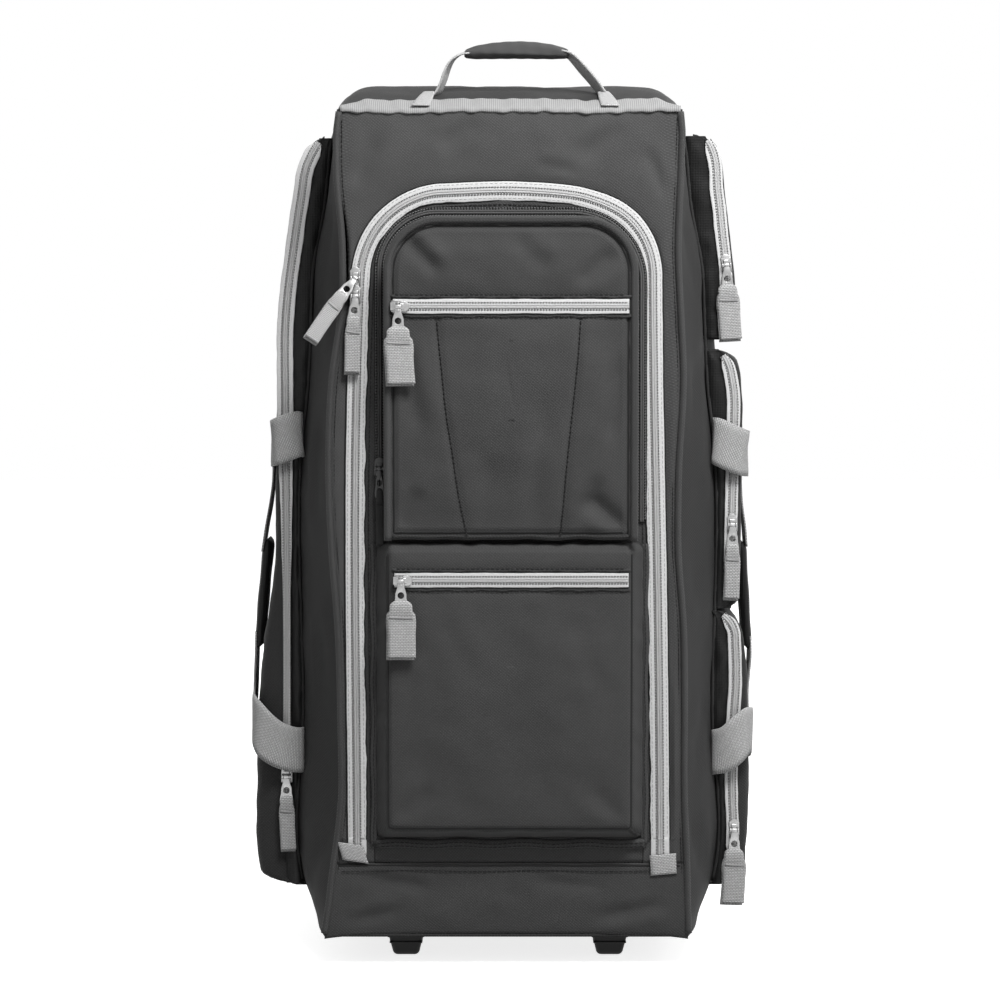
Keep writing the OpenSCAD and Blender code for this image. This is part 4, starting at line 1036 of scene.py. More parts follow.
def build_upper_pocket():
    folds = [((-98, 664), (-58, 622), 7.5, 3.6), ((96, 650), (60, 612), 9, 3.5),
             ((-102, 396), (-74, 438), 9, 3.0), ((108, 396), (66, 432), 9, 5.5),
             ((-30, 396), (-10, 470), 10, 2.4), ((20, 400), (34, 520), 10, 2.0),
             ((-96, 575), (-76, 470), 9, 3.0), ((104, 560), (88, 470), 9, 3.0),
             ((0, 660), (40, 625), 9, 2.0), ((60, 398), (84, 450), 8, 2.6)]
    grid = pocket_grid(zip_z=UPPER_ZIP, seed=71, crown=(5.5, 3.5), seam=7, groove=3.2, folds=folds, **UPPER)
    x, z = grid[..., 0], grid[..., 2]
    inside = (np.arange(len(grid)) > 7)[:, None]
    for dart in DARTS:
        on = (z > 392) & (z < 588)
        grid[..., 1] += inside * on * 1.7 * np.exp(-((x - along(dart[::-1], z)) / 3.2) ** 2)
    grid[..., 1] += inside * 2.0 * np.exp(-((z - UPPER_ZIP) / 9) ** 2)
    piece = pocket_piece("upper_pocket_cloth", grid, "pocket")
    ride(piece, "door", "pocket_cloth", "upper_pocket")
    row = []
    heights = np.linspace(393, 585, 40)
    for dart in DARTS:
        line = line_at(along(dart[::-1], heights), 0.0, heights)
        line[:, 1] = [surface_y(grid, px, pz) - 0.2 for px, _, pz in line]
        stitches(line + np.array([0, -0.45, 0]), FORWARD, row, r=0.62, lift=0.35)
    # The face's seam, as a dark cord of painted shade.
    seam_line_painted_shade(grid, 7, 999, 1.3, row)
    sewn("upper_pocket_darts", row, "thread", "door", "pocket_cloth")
    half, top, low = (UPPER["left"] + UPPER["right"]) / 2, UPPER["top"], 389
    inset = 2.4
    pipe, lip, tape, coil = [], [], [], []
    line = arch_path(half - inset + 0.4, low, top - inset + 0.8, UPPER["r"] - inset,
                     mid=UPPER_MID, y=POCKET_FACE + 1.4, arc=24)
    sweep(resampled(line, 5), circle(sizes().pocket_pipe / MM, 12), pipe)
    sewn("upper_pocket_piping", pipe, "piping", "door", "piping_cloth")
    cross_zip("upper_pocket", UPPER_ZIP, -102, 107, "pocket", ("door_pocket_zips",))
    line = arch_path(half + 1.4, low, top + 1.4, UPPER["r"] + 1.4, mid=UPPER_MID, y=FRONT - 1.5, arc=24)
    sweep(resampled(line, 4), circle(1.5, 6), lip)
    sewn("upper_pocket_base_fold", lip, "pocket", "door", "pocket_cloth")
    centre = arch_path(half + 5.8, 404, top + 5.8, 51, mid=UPPER_MID, y=FRONT - 0.6, arc=24, right_r=62)
    for side in (-1, 1):
        tape_half(centre, side, 4.6, FORWARD, tape, 0.3, 91)
        coil_half(centre + COIL_RISE, side, FORWARD, coil)
    sewn("organiser_zip_tape", tape, "black_tape", "door", "black_zip_tape", "organiser_zip")
    sewn("organiser_zip_coil", coil, ("dark_coil", "coil_seam"), "door", "black_zip_tape")


def surface_y(grid, x, z):
    """How far out a pocket's face is at a place, from the nearest points of its grid."""
    face = grid[8:]
    far = (face[..., 0] - x) ** 2 + (face[..., 2] - z) ** 2
    near = np.argsort(far, axis=None)[:4]
    weight = 1 / (far.reshape(-1)[near] + 0.05)
    return float(np.sum(face[..., 1].reshape(-1)[near] * weight) / weight.sum())


def build_lower_pocket():
    folds = [((-98, 135), (-60, 170), 9, 1.8), ((108, 136), (76, 170), 9, 2.0),
             ((-60, 330), (-20, 250), 12, 1.4), ((60, 330), (90, 240), 12, 1.3),
             ((0, 140), (30, 240), 14, 1.0)]
    grid = pocket_grid(zip_z=LOWER_ZIP, seed=81, crown=(4.0, 1.0), seam=5, groove=2.0, folds=folds,
                       flare=10.0, shift=-4.0, **LOWER)
    inside = (np.arange(len(grid)) > 7)[:, None]
    grid[..., 1] += inside * 2.0 * np.exp(-((grid[..., 2] - LOWER_ZIP) / 9) ** 2)
    piece = pocket_piece("lower_pocket_cloth", grid, "pocket")
    ride(piece, "door", "pocket_cloth", "lower_pocket")
    cross_zip("lower_pocket", LOWER_ZIP, -101, 107, "pocket")
    flange, row = [], []
    # The face's seam, as a dark cord of painted shade.
    seam_line_painted_shade(grid, 5, 378, 1.4, row)
    x = np.linspace(-119, 123, 70)
    line = line_at(x, FRONT - 2.2, 112.5 + 0.8 * np.sin(x / 9))
    sweep(line, [(-4.2, 0), (-3.4, 1.6), (3.4, 1.9), (4.2, 0)], flange)
    stitches(line + np.array([0, -2.1, 0.5]), FORWARD, row, r=0.45, lift=0.3)
    stitches(line + np.array([0, -1.9, -2.6]), FORWARD, row, r=0.4, lift=0.2)
    z = np.linspace(112, 384, 80)
    for x in (-120.5, 123.2):
        line = line_at(x + 0.6 * np.sin(z / 11), FRONT - 2.0, z)
        sweep(line, [(-3.0, 0), (-2.4, 1.4), (2.4, 1.4), (3.0, 0)], flange)
        stitches(line + np.array([0, -1.6, 0]), FORWARD, row, r=0.35, lift=0.2)
    sewn("lower_pocket_flange", flange, "door", "door", "pocket_cloth")
    sewn("lower_pocket_flange_stitching", row, "thread", "door", "pocket_cloth")


# ---- pockets on the sides ----

# How far out each side pocket and its zip stand from the middle, by height
LEFT_OUT = [(60, 229), (84, 232.5), (120, 234), (168, 234.5), (233, 232.5), (275, 228), (317, 222),
            (373, 216.5), (466, 214.5), (503, 214), (568, 210), (643, 203), (708, 194), (736, 186),
            (750, 180)]
LEFT_ZIP = [(60, 205), (161, 205.4), (208, 204.8), (300, 204.4), (400, 204.4), (508, 205), (586, 204.2),
            (618, 201), (647, 197), (693, 190), (730, 182.5), (748, 172)]
RIGHT_POCKETS = [
    ("right_top", 567, 752, [(567, 209), (600, 211), (650, 207), (700, 201), (745, 191), (752, 187)],
     [(567, 203), (634, 200), (660, 197), (700, 192.5), (744, 185), (752, 180)]),
    ("right_middle", 317, 555, [(317, 214), (345, 216), (450, 217), (520, 216), (548, 210), (555, 205)],
     [(317, 206), (395, 206.5), (470, 208), (525, 207), (545, 202), (555, 196)]),
    ("right_bottom", 60, 314.5, [(60, 221), (90, 224), (200, 224.5), (270, 223), (305, 214), (314.5, 207)],
     [(60, 208), (111, 209.6), (136, 208.5), (175, 208), (215, 209.5), (250, 211.3), (285, 210.3),
      (296, 209.4), (306, 204), (314.5, 194)]),
]


def side_pocket_rows(side, low, top, outs, zips, seed):
    """The front wall inside the zip, and the cloth from the zip round to the back, as two grids."""
    end = 9.0
    levels = [*(low + end * (1 - np.cos(np.linspace(0, math.pi / 2, 6))))[:-1],
              *np.linspace(low + end, top - end, max(8, int((top - low) / 6))),
              *(top - end * (1 - np.cos(np.linspace(math.pi / 2, 0, 6))))[1:]]
    share = np.concatenate([np.linspace(0, 0.22, 13)[:-1], np.linspace(0.22, 1, 36)])
    wall, cloth = [], []
    for z in levels:
        near = min(z - low, top - z)
        pull = math.sqrt(max(0.0, 1 - (1 - min(1.0, near / end)) ** 2))
        seam, zip_x, out = float(along(SEAM_X, z)) - 1.5, float(along(zips, z)), float(along(outs, z))
        body = 197.0 if z < 560 else float(along(WIDE_X, z))
        lip = zip_x - 6.0
        front = [(seam - 2, SEAM + 2.0), (seam + 1.5, WALL - 1.0)]
        front += [(seam + 1.5 + (lip - seam - 1.5) * t, WALL - 1.0 - 2.2 * math.sin(math.pi * t))
                  for t in (0.25, 0.5, 0.75)]
        front += [(lip, WALL - 1.2), (zip_x + 1.0, WALL - 0.6)]
        wall.append([(side * x, y, z) for x, y in front])
        start = zip_x + 4.2
        fat = out - start
        plan = np.array([
            (zip_x - 0.5, WALL - 0.2), (start, WALL - 1.4), (start + fat * 0.45, WALL - 0.2),
            (start + fat * 0.8, WALL + 5), (out - 0.6, WALL + 13), (out, WALL + 26), (out + 0.8, WALL + 52),
            (out, WALL + 84), (out - 2, WALL + 112), (out - 7, WALL + 136),
            (out - 15 if out - 15 > body else body + 1.5, WALL + 158), (body + 1.0, WALL + 180),
            (body - 3, WALL + 187)])
        reach = places(plan)
        xs, ys = (along(list(zip(reach, plan[:, k])), share * reach[-1]) for k in (0, 1))
        keep = body - 4
        xs = keep + (xs - keep) * (0.25 + 0.75 * pull) if pull < 1 else xs
        cloth.append([(side * x, y, z) for x, y in zip(xs, ys)])
    wall, cloth = np.array(wall), np.array(cloth)
    # One more row at both ends of each closes the pocket against the body
    ends = cloth[[0, -1]]
    ends[..., 0] = side * np.minimum(np.abs(ends[..., 0]), 178)
    cloth = np.concatenate([ends[:1], cloth, ends[1:]])
    ends = wall[[0, -1]]
    ends[..., 1] = SEAM + 8
    wall = np.concatenate([ends[:1], wall, ends[1:]])
    share = fade(np.arange(len(cloth)), 5)[:, None] * fade(np.arange(cloth.shape[1]), 8)[None, :]
    cloth[..., 0] += side * share * (2.6 * dents(cloth * (1, 1, 0.7), 50, seed)
                                     + 1.0 * dents(cloth, 18, seed + 1))
    share = fade(np.arange(len(wall)), 4)[:, None] * np.array([0, 0, 1, 1, 1, 0, 0])[None, :]
    wall[..., 1] += share * (2.4 * dents(wall, 22, seed + 2) + 2.8 * dents(wall, 9, seed + 4) - 0.4)
    return wall, cloth


def build_side_pocket(side, name, low, top, outs, zips, seed):
    """One side pocket: its cloth and the net of its front wall."""
    wall, cloth = side_pocket_rows(side, low, top, outs, zips, seed)
    thick = sizes().cloth * 0.7
    piece = sheet_piece(name + "_cloth", cloth, "side", thick)
    ride(piece, "root", "side_cloth", name)
    piece = sheet_piece(name + "_front_net", wall, "mesh", thick * 0.6)
    ride(piece, "root", "pocket_cloth")


def side_zip(side, zips, low, high, tape, coil, inner, outer, slim):
    """Adds a side pocket's zip: half widths of the tape towards the middle and away from it."""
    z = np.linspace(low, high, 60)
    path = line_at(side * along(zips, z), WALL - 1.2, z)
    out = (side * 0.12, -1, 0)
    for half in (-1, 1):
        wide = outer if half == side else inner
        tape_half(path + np.array([0, -0.6, 0]), half, wide, out, tape, 0.5, low + half, slim=slim)
        coil_half(path + np.array([0, -1.5, 0]), half, out, coil)


def build_side_pockets():
    build_side_pocket(-1, "left_pocket", 60, 750, LEFT_OUT, LEFT_ZIP, 101)
    for n, (name, low, top, outs, zips) in enumerate(RIGHT_POCKETS):
        build_side_pocket(1, name + "_pocket", low, top, outs, zips, 111 + 5 * n)
    tape, coil = [], []
    side_zip(-1, LEFT_ZIP, 122, 746, tape, coil, 7.6, 7.6, 0.42)
    sewn("left_pocket_zip_tape", tape, "tape", "root", "zip_tape", "left_pocket_zip")
    sewn("left_pocket_zip_coil", coil, ("coil", "coil_seam"), "root", "zip_tape")
    tape, coil = [], []
    for _, low, top, _, zips in RIGHT_POCKETS:
        side_zip(1, zips, low + 24, top - 4, tape, coil, 7.0, 5.6, 0.94)
    sewn("right_pocket_zip_tapes", tape, "tape", "root", "zip_tape", "right_pocket_zips")
    sewn("right_pocket_zip_coils", coil, ("coil", "coil_seam"), "root", "zip_tape")
    bars = []
    z = np.linspace(64, 748, 160)
    for side in (-1, 1):
        sweep(line_at(side * (along(SEAM_X, z) + 0.3), SEAM - 2.8, z), circle(1.5, 6), bars)
    sewn("gusset_seams", bars, "side", "root", "side_cloth")


# ---- handles ----

UP, ACROSS = (0, 0, 1), (0, 1, 0)
# The webbing of each side handle, sewn end first above the grip and last below it: (centre, direction across)
HANDLE_LOOPS = {
    "left": ([
        ((-189.2, -79.0, 478), UP), ((-190.5, -82.5, 479), (-0.15, 0, 1)), ((-196, -87.6, 478), (-0.3, 0, 1)),
        ((-206, -88.6, 474.5), (-0.3, 0, 1)), ((-214, -84.5, 471), (-0.2, 0.15, 1)),
        ((-217.2, -74, 469.5), (0, 0.15, 1)), ((-217.6, -62, 468), (0, 0.2, 1)),
        ((-217.8, -48, 464), (0, 0.4, 0.92)), ((-218.5, -34, 456), (0, 0.75, 0.66)),
        ((-219.6, -23, 436), (0, 0.96, 0.26)), ((-222.6, -18.4, 412), ACROSS), ((-227, -18, 388), ACROSS),
        ((-230.4, -18, 366), ACROSS)], [
        ((-236.4, -18, 290), ACROSS), ((-237, -18, 268), (0, 0.99, -0.1)),
        ((-237.4, -21, 250), (0, 0.93, -0.36)), ((-237.6, -30, 231), (0, 0.72, -0.7)),
        ((-237.4, -42, 219), (0, 0.35, -0.93)), ((-237, -56, 215), (0, 0.08, -1)),
        ((-236.4, -70, 216), (-0.02, 0.08, -1)), ((-232.4, -83, 211), (-0.16, 0.06, -1)),
        ((-224, -88.4, 200.5), (-0.3, 0, -1)), ((-211, -89, 191.5), (-0.2, 0, -1)),
        ((-199, -88, 187.5), (-0.06, 0, -1)), ((-190.5, -82.5, 186), (0, 0, -1)),
        ((-189.2, -79.0, 186), (0, 0, -1))]),
    "right": ([
        ((189.2, -79.0, 473), UP), ((190.5, -82.5, 473), (0.15, 0, 1)), ((197, -87.6, 470), (0.34, 0, 1)),
        ((208, -88.6, 465), (0.34, 0, 1)), ((217, -84, 461.5), (0.25, 0.1, 1)),
        ((220.6, -72, 460), (0, 0.1, 1)), ((221, -52, 459.5), UP), ((221, -30, 459), (0, 0.1, 1)),
        ((221, -6, 460), (0, 0.35, 0.95)), ((221.6, 12, 446), (0, 0.75, 0.66)),
        ((222.6, 25, 428), (0, 0.96, 0.26)), ((224.4, 29.6, 404), ACROSS), ((227, 30, 386), ACROSS),
        ((228.6, 30, 366), ACROSS)], [
        ((232.6, 30, 280), ACROSS), ((233, 30, 262), ACROSS), ((231.6, 28, 240), (0, 0.96, -0.26)),
        ((230, 20, 218), (0, 0.75, -0.66)), ((229.4, 4, 200), (0, 0.35, -0.95)),
        ((229, -16, 191), (0, 0.1, -1)), ((228.2, -44, 196), (0, 0, -1)),
        ((226.6, -68, 203), (0, 0.08, -1)), ((221.4, -82.6, 204), (0.12, 0.06, -1)),
        ((212.4, -88.2, 197), (0.26, 0, -1)), ((200, -88, 187), (0.16, 0, -1)),
        ((190.5, -82.5, 184), (0, 0, -1)), ((189.2, -79.0, 183), (0, 0, -1))]),
}
# How far out each grip stands, by height, and its middle's depth
GRIPS = {"left": [(276, 237.4), (326, 233.4), (376, 228.4)],
         "right": [(269, 233.4), (319, 230.4), (369, 227.4)]}
GRIP_Y = {"left": -18, "right": 30}


def build_side_handles():
    for side, name in ((-1, "left"), (1, "right")):
        body = name + "_handle"
        bars = []
        for line in HANDLE_LOOPS[name]:
            ribbon(line, 42, sizes().webbing / MM, bars, columns=9)
        sewn(body + "_webbing", bars, "grey_webbing", body, "grey_webbing", body + "_strap")
        rows, count = [], 36
        stations = GRIPS[name]
        heights = np.linspace(stations[0][0] - 1, stations[-1][0] + 1, 40)
        for n, z in enumerate(heights):
            t = min(n, len(heights) - 1 - n) / 3.5
            end = math.sqrt(max(0.03, 1 - max(0.0, 1 - t) ** 2))
            x = float(along(stations, z)) - 3.4
            ring = []
            for k in range(count):
                ca, sa = math.cos(math.tau * k / count), math.sin(math.tau * k / count)
                u = math.copysign(abs(sa) ** 0.55, sa) * 20.5 * (0.86 + 0.14 * end)
                v = math.copysign(abs(ca) ** 0.75, ca) * 4.9 * end * (1 + 0.05 * math.sin(z / 7))
                ring.append((side * (x + v), GRIP_Y[name] + u, z))
            rows.append(ring)
        grip = new_piece(body + "_padded_grip", rows,
                         [f[::side] for f in bar_faces(len(rows), count)], "mesh")
        ride(grip, body, "grip_cloth", body + "_grip")


def top_z(x, y):
    """The height of the top's cloth at a place."""
    return float(along(TOP_Z, y)) - crown_drop(y) * (1 - float(top_share(x - 1.5, 153.5)))


def build_top_webbing():
    x = np.linspace(-149.5, 153.5, 150)
    columns = 12
    grid = np.zeros((len(x), columns, 3))
    for n, px in enumerate(x):
        wave = 0.9 * math.sin(px / 4.1) + 0.7 * math.sin(px / 2.3)
        reach = 25.0 * (0.12 + 0.88 * min(1.0, (153.5 - abs(px - 2)) / 22.0))
        sag = 1.6 * dents(np.array([[px, 0, 0]]), 60, 131)[0]
        for k in range(columns):
            t = k / (columns - 1)
            back = -1.6 + reach * t
            z = top_z(px, FRONT + max(back, 0)) + 1.6 + 1.4 * math.sin(math.pi * t) + 0.35 * wave + sag
            grid[n, k] = (px, FRONT + back, z)
        grid[n, 0] += (0, 0.5 * wave - 1.2, -4.0)  # the front edge turns down over the seam
    across = np.stack(np.meshgrid(np.linspace(0, 25, columns), x), -1)
    piece = sheet_piece("top_seam_webbing", grid, "ribbed", 0.0022, uvs=across)
    ride(piece, "root", "light_webbing", "top_webbing")


# The top handle's legs: how the webbing leans and rises across, and its (x, z) line
TOP_LEGS = [
    (0.34, 0.12, [(-78, -2.6), (-72, 0), (-69, 5), (-66, 12), (-62.6, 22), (-57.5, 30.5),
                  (-50, 35.5), (-41, 37)]),
    (-0.40, -0.12, [(80, -2.6), (77.5, -0.5), (73.5, 5), (67, 13), (59.5, 21.5), (53, 29),
                    (47, 34.4), (40, 36.5)]),
]


def build_top_handle():
    cx, cy, cz = 8.0, -108.0, 788.7
    anchors, bars = [], []
    for x0, x1 in ((cx - 79, cx - 86), (cx + 78, cx + 83)):
        line = []
        for t in np.linspace(0, 1, 7):
            x, y = x0 + (x1 - x0) * t, -112 - 39.5 * t
            line.append(((x, y, top_z(x, max(y, FRONT)) + 4.4 - 1.0 * t), (1, 0, 0)))
        ribbon(line, [10, 13, 15, 16], 1.4, anchors, step=3.0)
    sewn("top_handle_anchors", anchors, "webbing", "root", "light_webbing")
    for lean, rise, leg in TOP_LEGS:
        line = []
        for n, (x, z) in enumerate(leg):
            t = n / (len(leg) - 1)
            line.append(((cx + x, cy - 1.5 * math.sin(math.pi * t), cz + z), (lean * (1 - t * t), 1, rise)))
        ribbon(line, [16, 19, 22, 24, 24], sizes().webbing / MM, bars, columns=9, step=3.0)
    sewn("top_handle_webbing", bars, "webbing", "top_handle", "light_webbing", "top_handle_strap")
    rows, count, length = [], 40, 60
    for s in np.linspace(-1, 1, length):
        end = max(0.0, 1 - abs(s) ** 11) ** 0.5
        ring = []
        for k in range(count):
            a = math.tau * k / count
            ca, sa = math.cos(a), math.sin(a)
            crease = 0.3 * math.sin(6 * a + s * 3) + 0.2 * math.sin(s * 22 + 2 * a)
            wide = 12.4 * (0.7 + 0.3 * end) + crease
            tall = (10.2 - 5.4 * s * s if ca > 0 else 5.6 - 1.6 * s * s) * (0.45 + 0.55 * end) + crease * 0.6
            ring.append((cx + s * 47.4, cy + wide * math.copysign(abs(sa) ** 0.8, sa),
                         cz + 36.6 - 1.6 * s * s + tall * math.copysign(abs(ca) ** 0.8, ca)))
        rows.append(ring)
    grip = new_piece("top_handle_padded_grip", rows, [f[::-1] for f in bar_faces(length, count)], "grip")
    ride(grip, "top_handle", "grip_cloth", "top_handle_grip")


# ---- hard pieces, modelled with Blender's own tools ----

def bevelled(piece, width, segments=2, **limits):
    """Rounds the piece's edges, by a width in millimetres."""
    modified(piece, "BEVEL", width=width * MM, segments=segments, limit_method="ANGLE", **limits)


def block(name, low, high, bevel, segments=2, taper=None):
    """A primitive cube between two corners in millimetres. taper shrinks the face that looks to one side."""
    bpy.ops.object.select_all(action="DESELECT")
    middle = [(a + b) / 2 * MM for a, b in zip(low, high)]
    bpy.ops.mesh.primitive_cube_add(size=1, location=middle, scale=[(b - a) * MM for a, b in zip(low, high)])
    piece = bpy.context.object
    piece.name = name
    bpy.ops.object.transform_apply(location=True, rotation=False, scale=True)
    if taper:
        axis, sign, shrink = taper
        edge = max(sign * v.co[axis] for v in piece.data.vertices)
        for v in piece.data.vertices:
            if sign * v.co[axis] > edge - 1e-7:
                for k in {0, 1, 2} - {axis}:
                    v.co[k] = middle[k] + (v.co[k] - middle[k]) * shrink[k]
    if bevel:
        bevelled(piece, bevel, segments)
    return piece


def rod(name, centre, axis, r, length, bevel=0.0, vertices=24):
    """A primitive cylinder along X, Y or Z, in millimetres."""
    bpy.ops.object.select_all(action="DESELECT")
    turn = {"x": (0, math.pi / 2, 0), "y": (math.pi / 2, 0, 0), "z": (0, 0, 0)}[axis]
    bpy.ops.mesh.primitive_cylinder_add(
        vertices=vertices, radius=r * MM, depth=length * MM, location=[v * MM for v in centre], rotation=turn)
    piece = bpy.context.object
    piece.name = name
    bpy.ops.object.transform_apply(location=True, rotation=True, scale=True)
    if bevel:
        bevelled(piece, bevel)
    return piece


def cut(piece, tool):
    """Takes the tool's shape out of the piece."""
    modified(piece, "BOOLEAN", object=tool, operation="DIFFERENCE", solver="EXACT")
    bpy.data.objects.remove(tool, do_unlink=True)


def edited(piece, *steps):
    """Runs mesh operators on the whole of the piece, in edit mode."""
    only(piece)
    bpy.ops.object.mode_set(mode="EDIT")
    bpy.ops.mesh.select_all(action="SELECT")
    for step in steps:
        step()
    bpy.ops.object.mode_set(mode="OBJECT")


def fused(parts, name):
    """Several parts as one object."""
    bpy.ops.object.select_all(action="DESELECT")
    for part in parts:
        part.select_set(True)
    bpy.context.view_layer.objects.active = parts[0]
    if len(parts) > 1:
        bpy.ops.object.join()
    piece = bpy.context.object
    piece.name = name
    return piece


def dressed(piece, material):
    """Gives the piece one material."""
    piece.data.materials.clear()
    piece.data.materials.append(MADE[material])


def finish_hard(piece, material, angle=35):
    """Smooths the edges below the angle, and gives the piece its material and UVs."""
    only(piece)
    bpy.ops.object.shade_smooth_by_angle(angle=math.radians(angle))
    dressed(piece, material)
    if "UVMap" not in piece.data.uv_layers:
        flat_uv(piece.data)
    return piece


def slider_pattern():
    """A zip slider on a surface that faces forwards, at the origin, with its zip upright."""
    top = block("slider_top", (-5, -5.2, -7), (5, -3.3, 7), 0.7, 3, taper=(2, -1, (0.72, 1, 1)))
    hump = block("slider_hump", (-3.2, -6.0, -5), (3.2, -4.9, 5.5), 0.5, 2, taper=(1, -1, (0.7, 1, 0.8)))
    skirts = [block("skirt", (s * 4.45 - 0.55, -3.6, -6.2), (s * 4.45 + 0.55, -1.35, 6.4), 0.25, 2)
              for s in (-1, 1)]
    nose = rod("nose", (0, -4.2, 5.6), "y", 4.4, 1.9, 0.5)
    ears = []
    for s in (-1, 1):
        ears.append(rod("ear", (s * 3.5, -8, 0), "x", 2.2, 1.4, 0.35))
        ears.append(block("post", (s * 3.5 - 0.7, -8, -2.2), (s * 3.5 + 0.7, -5, 2.2), 0.3, 2))
    pin = rod("pin", (0, -8, 0), "x", 1.0, 5.6)
    return finish_hard(fused([top, hump, *skirts, nose, *ears, pin], "slider_pattern"), "metal")


def puller_pattern():
    """A cast puller that hangs from its pin at the origin: a plate with a small and a large hole."""
    bpy.ops.object.select_all(action="DESELECT")
    outline = [(-2.5, 0.6), (2.5, 0.6), (3.1, -4), (4.9, -9.5), (5.1, -14), (6.2, -20), (6.2, -23.2),
               (5.2, -24.6), (-5.2, -24.6), (-6.2, -23.2), (-6.2, -20), (-5.1, -14), (-4.9, -9.5),
               (-3.1, -4)]
    bpy.ops.mesh.primitive_circle_add(vertices=len(outline), radius=0.01, fill_type="NGON")
    plate = bpy.context.object
    for v, (x, z) in zip(plate.data.vertices, outline[::-1]):
        v.co = (x * MM, -0.9 * MM, z * MM)
    edited(plate,
           lambda: bpy.ops.mesh.extrude_region_move(TRANSFORM_OT_translate={"value": (0, 1.8 * MM, 0)}),
           lambda: bpy.ops.mesh.select_all(action="SELECT"),
           lambda: bpy.ops.mesh.normals_make_consistent(inside=False))
    cut(plate, rod("upper_hole", (0, 0, -11.4), "y", 2.9, 9, vertices=24))
    cut(plate, rod("slot", (0, 0, -19.6), "y", 3.1, 9, vertices=24))
    bevelled(plate, 0.4, angle_limit=math.radians(40))
    knuckle = rod("knuckle", (0, 0, 0), "x", 2.1, 4.9, 0.3)
    cut(knuckle, rod("bore", (0, 0, 0), "x", 1.1, 9))
    for v in plate.data.vertices:
        v.co.z -= 1.4 * MM
    return finish_hard(fused([plate, knuckle], "puller_pattern"), "metal")


def placed(pattern, name, matrix, material):
    """A copy of a pattern, with its own mesh moved to its place."""
    piece = pattern.copy()
    piece.data = pattern.data.copy()
    piece.name = name
    piece.data.name = name
    piece.data.transform(matrix)
    if material:
        dressed(piece, material)
    bpy.context.collection.objects.link(piece)
    return piece


def pull_tab(name, matrix, width, material, twist):
    """A folded webbing tab below a puller: gathered through the slot, and turned a little."""
    bars = []
    top, low = -20.0, -70.5
    gather = min(width * 0.86, 20.5)
    spread = [(0, gather * 0.5), (1.5, gather * 0.78), (3.5, gather * 0.93), (6.5, gather),
              (9.5, gather * 1.02), (11, width * 0.96), (13, width), (30, width * 0.97), (60, width)]
    for layer in (-1, 1):
        keys = [(top + 2.0, 0.3), (top + 0.6, 1.5), (top - 3.5, 2.1), (top - 8, 1.9), (top - 11.5, 1.2),
                (top - 15, 1.0), (top - 30, 1.2), (low + (2.4 if layer < 0 else 0), 1.4)]
        shift = (0.9 if layer < 0 else -0.6) * width / 25
        line = []
        for z, off in keys:
            t = (top - z) / (top - low)
            x = shift * min(1, 2 * t) + twist * t * t * width * 0.25
            line.append(((x, layer * off, z), (1, 0.10 * twist * t, 0.06 * twist)))
        widths = along(spread, np.linspace(0, keys[0][0] - keys[-1][0], 44))
        ribbon(line, widths, 1.5, bars, columns=9, step=1.5)
    piece = joined(name, bars, material)
    piece.data.transform(matrix)
    return piece


def bartack(matrix, width, bars):
    """Adds the close stitching across a tab, under its gather."""
    z = -32.5
    path = [(-width * 0.40, -2.0, z + 0.4), (0, -2.3, z), (width * 0.44, -2.0, z - 0.3)]
    sweep(resampled(path, 1.2), [(-0.9, 0), (-0.7, 0.5), (0.7, 0.5), (0.9, 0)], bars,
          swell=lambda n, ring: ring * (1, 1 if n % 2 else 0.6))
    points, faces, uvs = bars[-1]
    bars[-1] = (np.array([matrix @ Vector(p * MM) for p in points]) / MM, faces, uvs)


def turned(x, surface, z, along_x, turn):
    """Where a slider goes on its zip."""
    spot = Matrix.Translation((x * MM, surface * MM, z * MM))
    return spot @ Matrix.Rotation(math.radians(turn + (90 if along_x else 0)), 4, "Y")


def hung(x, surface, z, lean, lift, turn):
    """Where a puller goes: lifted off the cloth, then leaning to one side."""
    spot = Matrix.Translation((x * MM, (surface - AXIS_OFF) * MM, z * MM))
    pin = spot @ Matrix.Rotation(math.radians(-lift), 4, "X") @ Matrix.Rotation(math.radians(turn), 4, "Y")
    return pin @ Matrix.Rotation(math.radians(lean), 4, "Y")


# Each slider's place, whether its zip lies flat, its tab's width, and its puller's lean, lift and twist
PULLS = {
    "corner": (-136, FRONT, 622, 0, 14, 36, 15, 0.6),
    "leg": (-136, FRONT, 606, 0, 14, 4, 0, 0.5),
    "upper_pocket": (-97, POCKET_FACE, UPPER_ZIP, 1, 25, 0, 0, 0.35),
    "lower_pocket": (-95, POCKET_FACE, LOWER_ZIP, 1, 25, 0, 0, 0.0),
    "organiser": (-114.8, FRONT, 452, 0, 7, 0, 0, 0.0),
    "left_pocket": (-205, WALL, 161, 0, 14, 0, 0, 0.5),
    "right_top": (200.5, WALL, 634, 0, 20, 3.6, 0, 0.2),
    "right_middle": (207, WALL, 395, 0, 14, 0, 0, -0.3),
    "right_bottom": (210, WALL, 111, 0, 21, 0, 0, -0.4),
}
TOP_TURN = math.degrees(math.atan2(-11.5, 108))  # the right top pocket's zip leans, and its slider with it


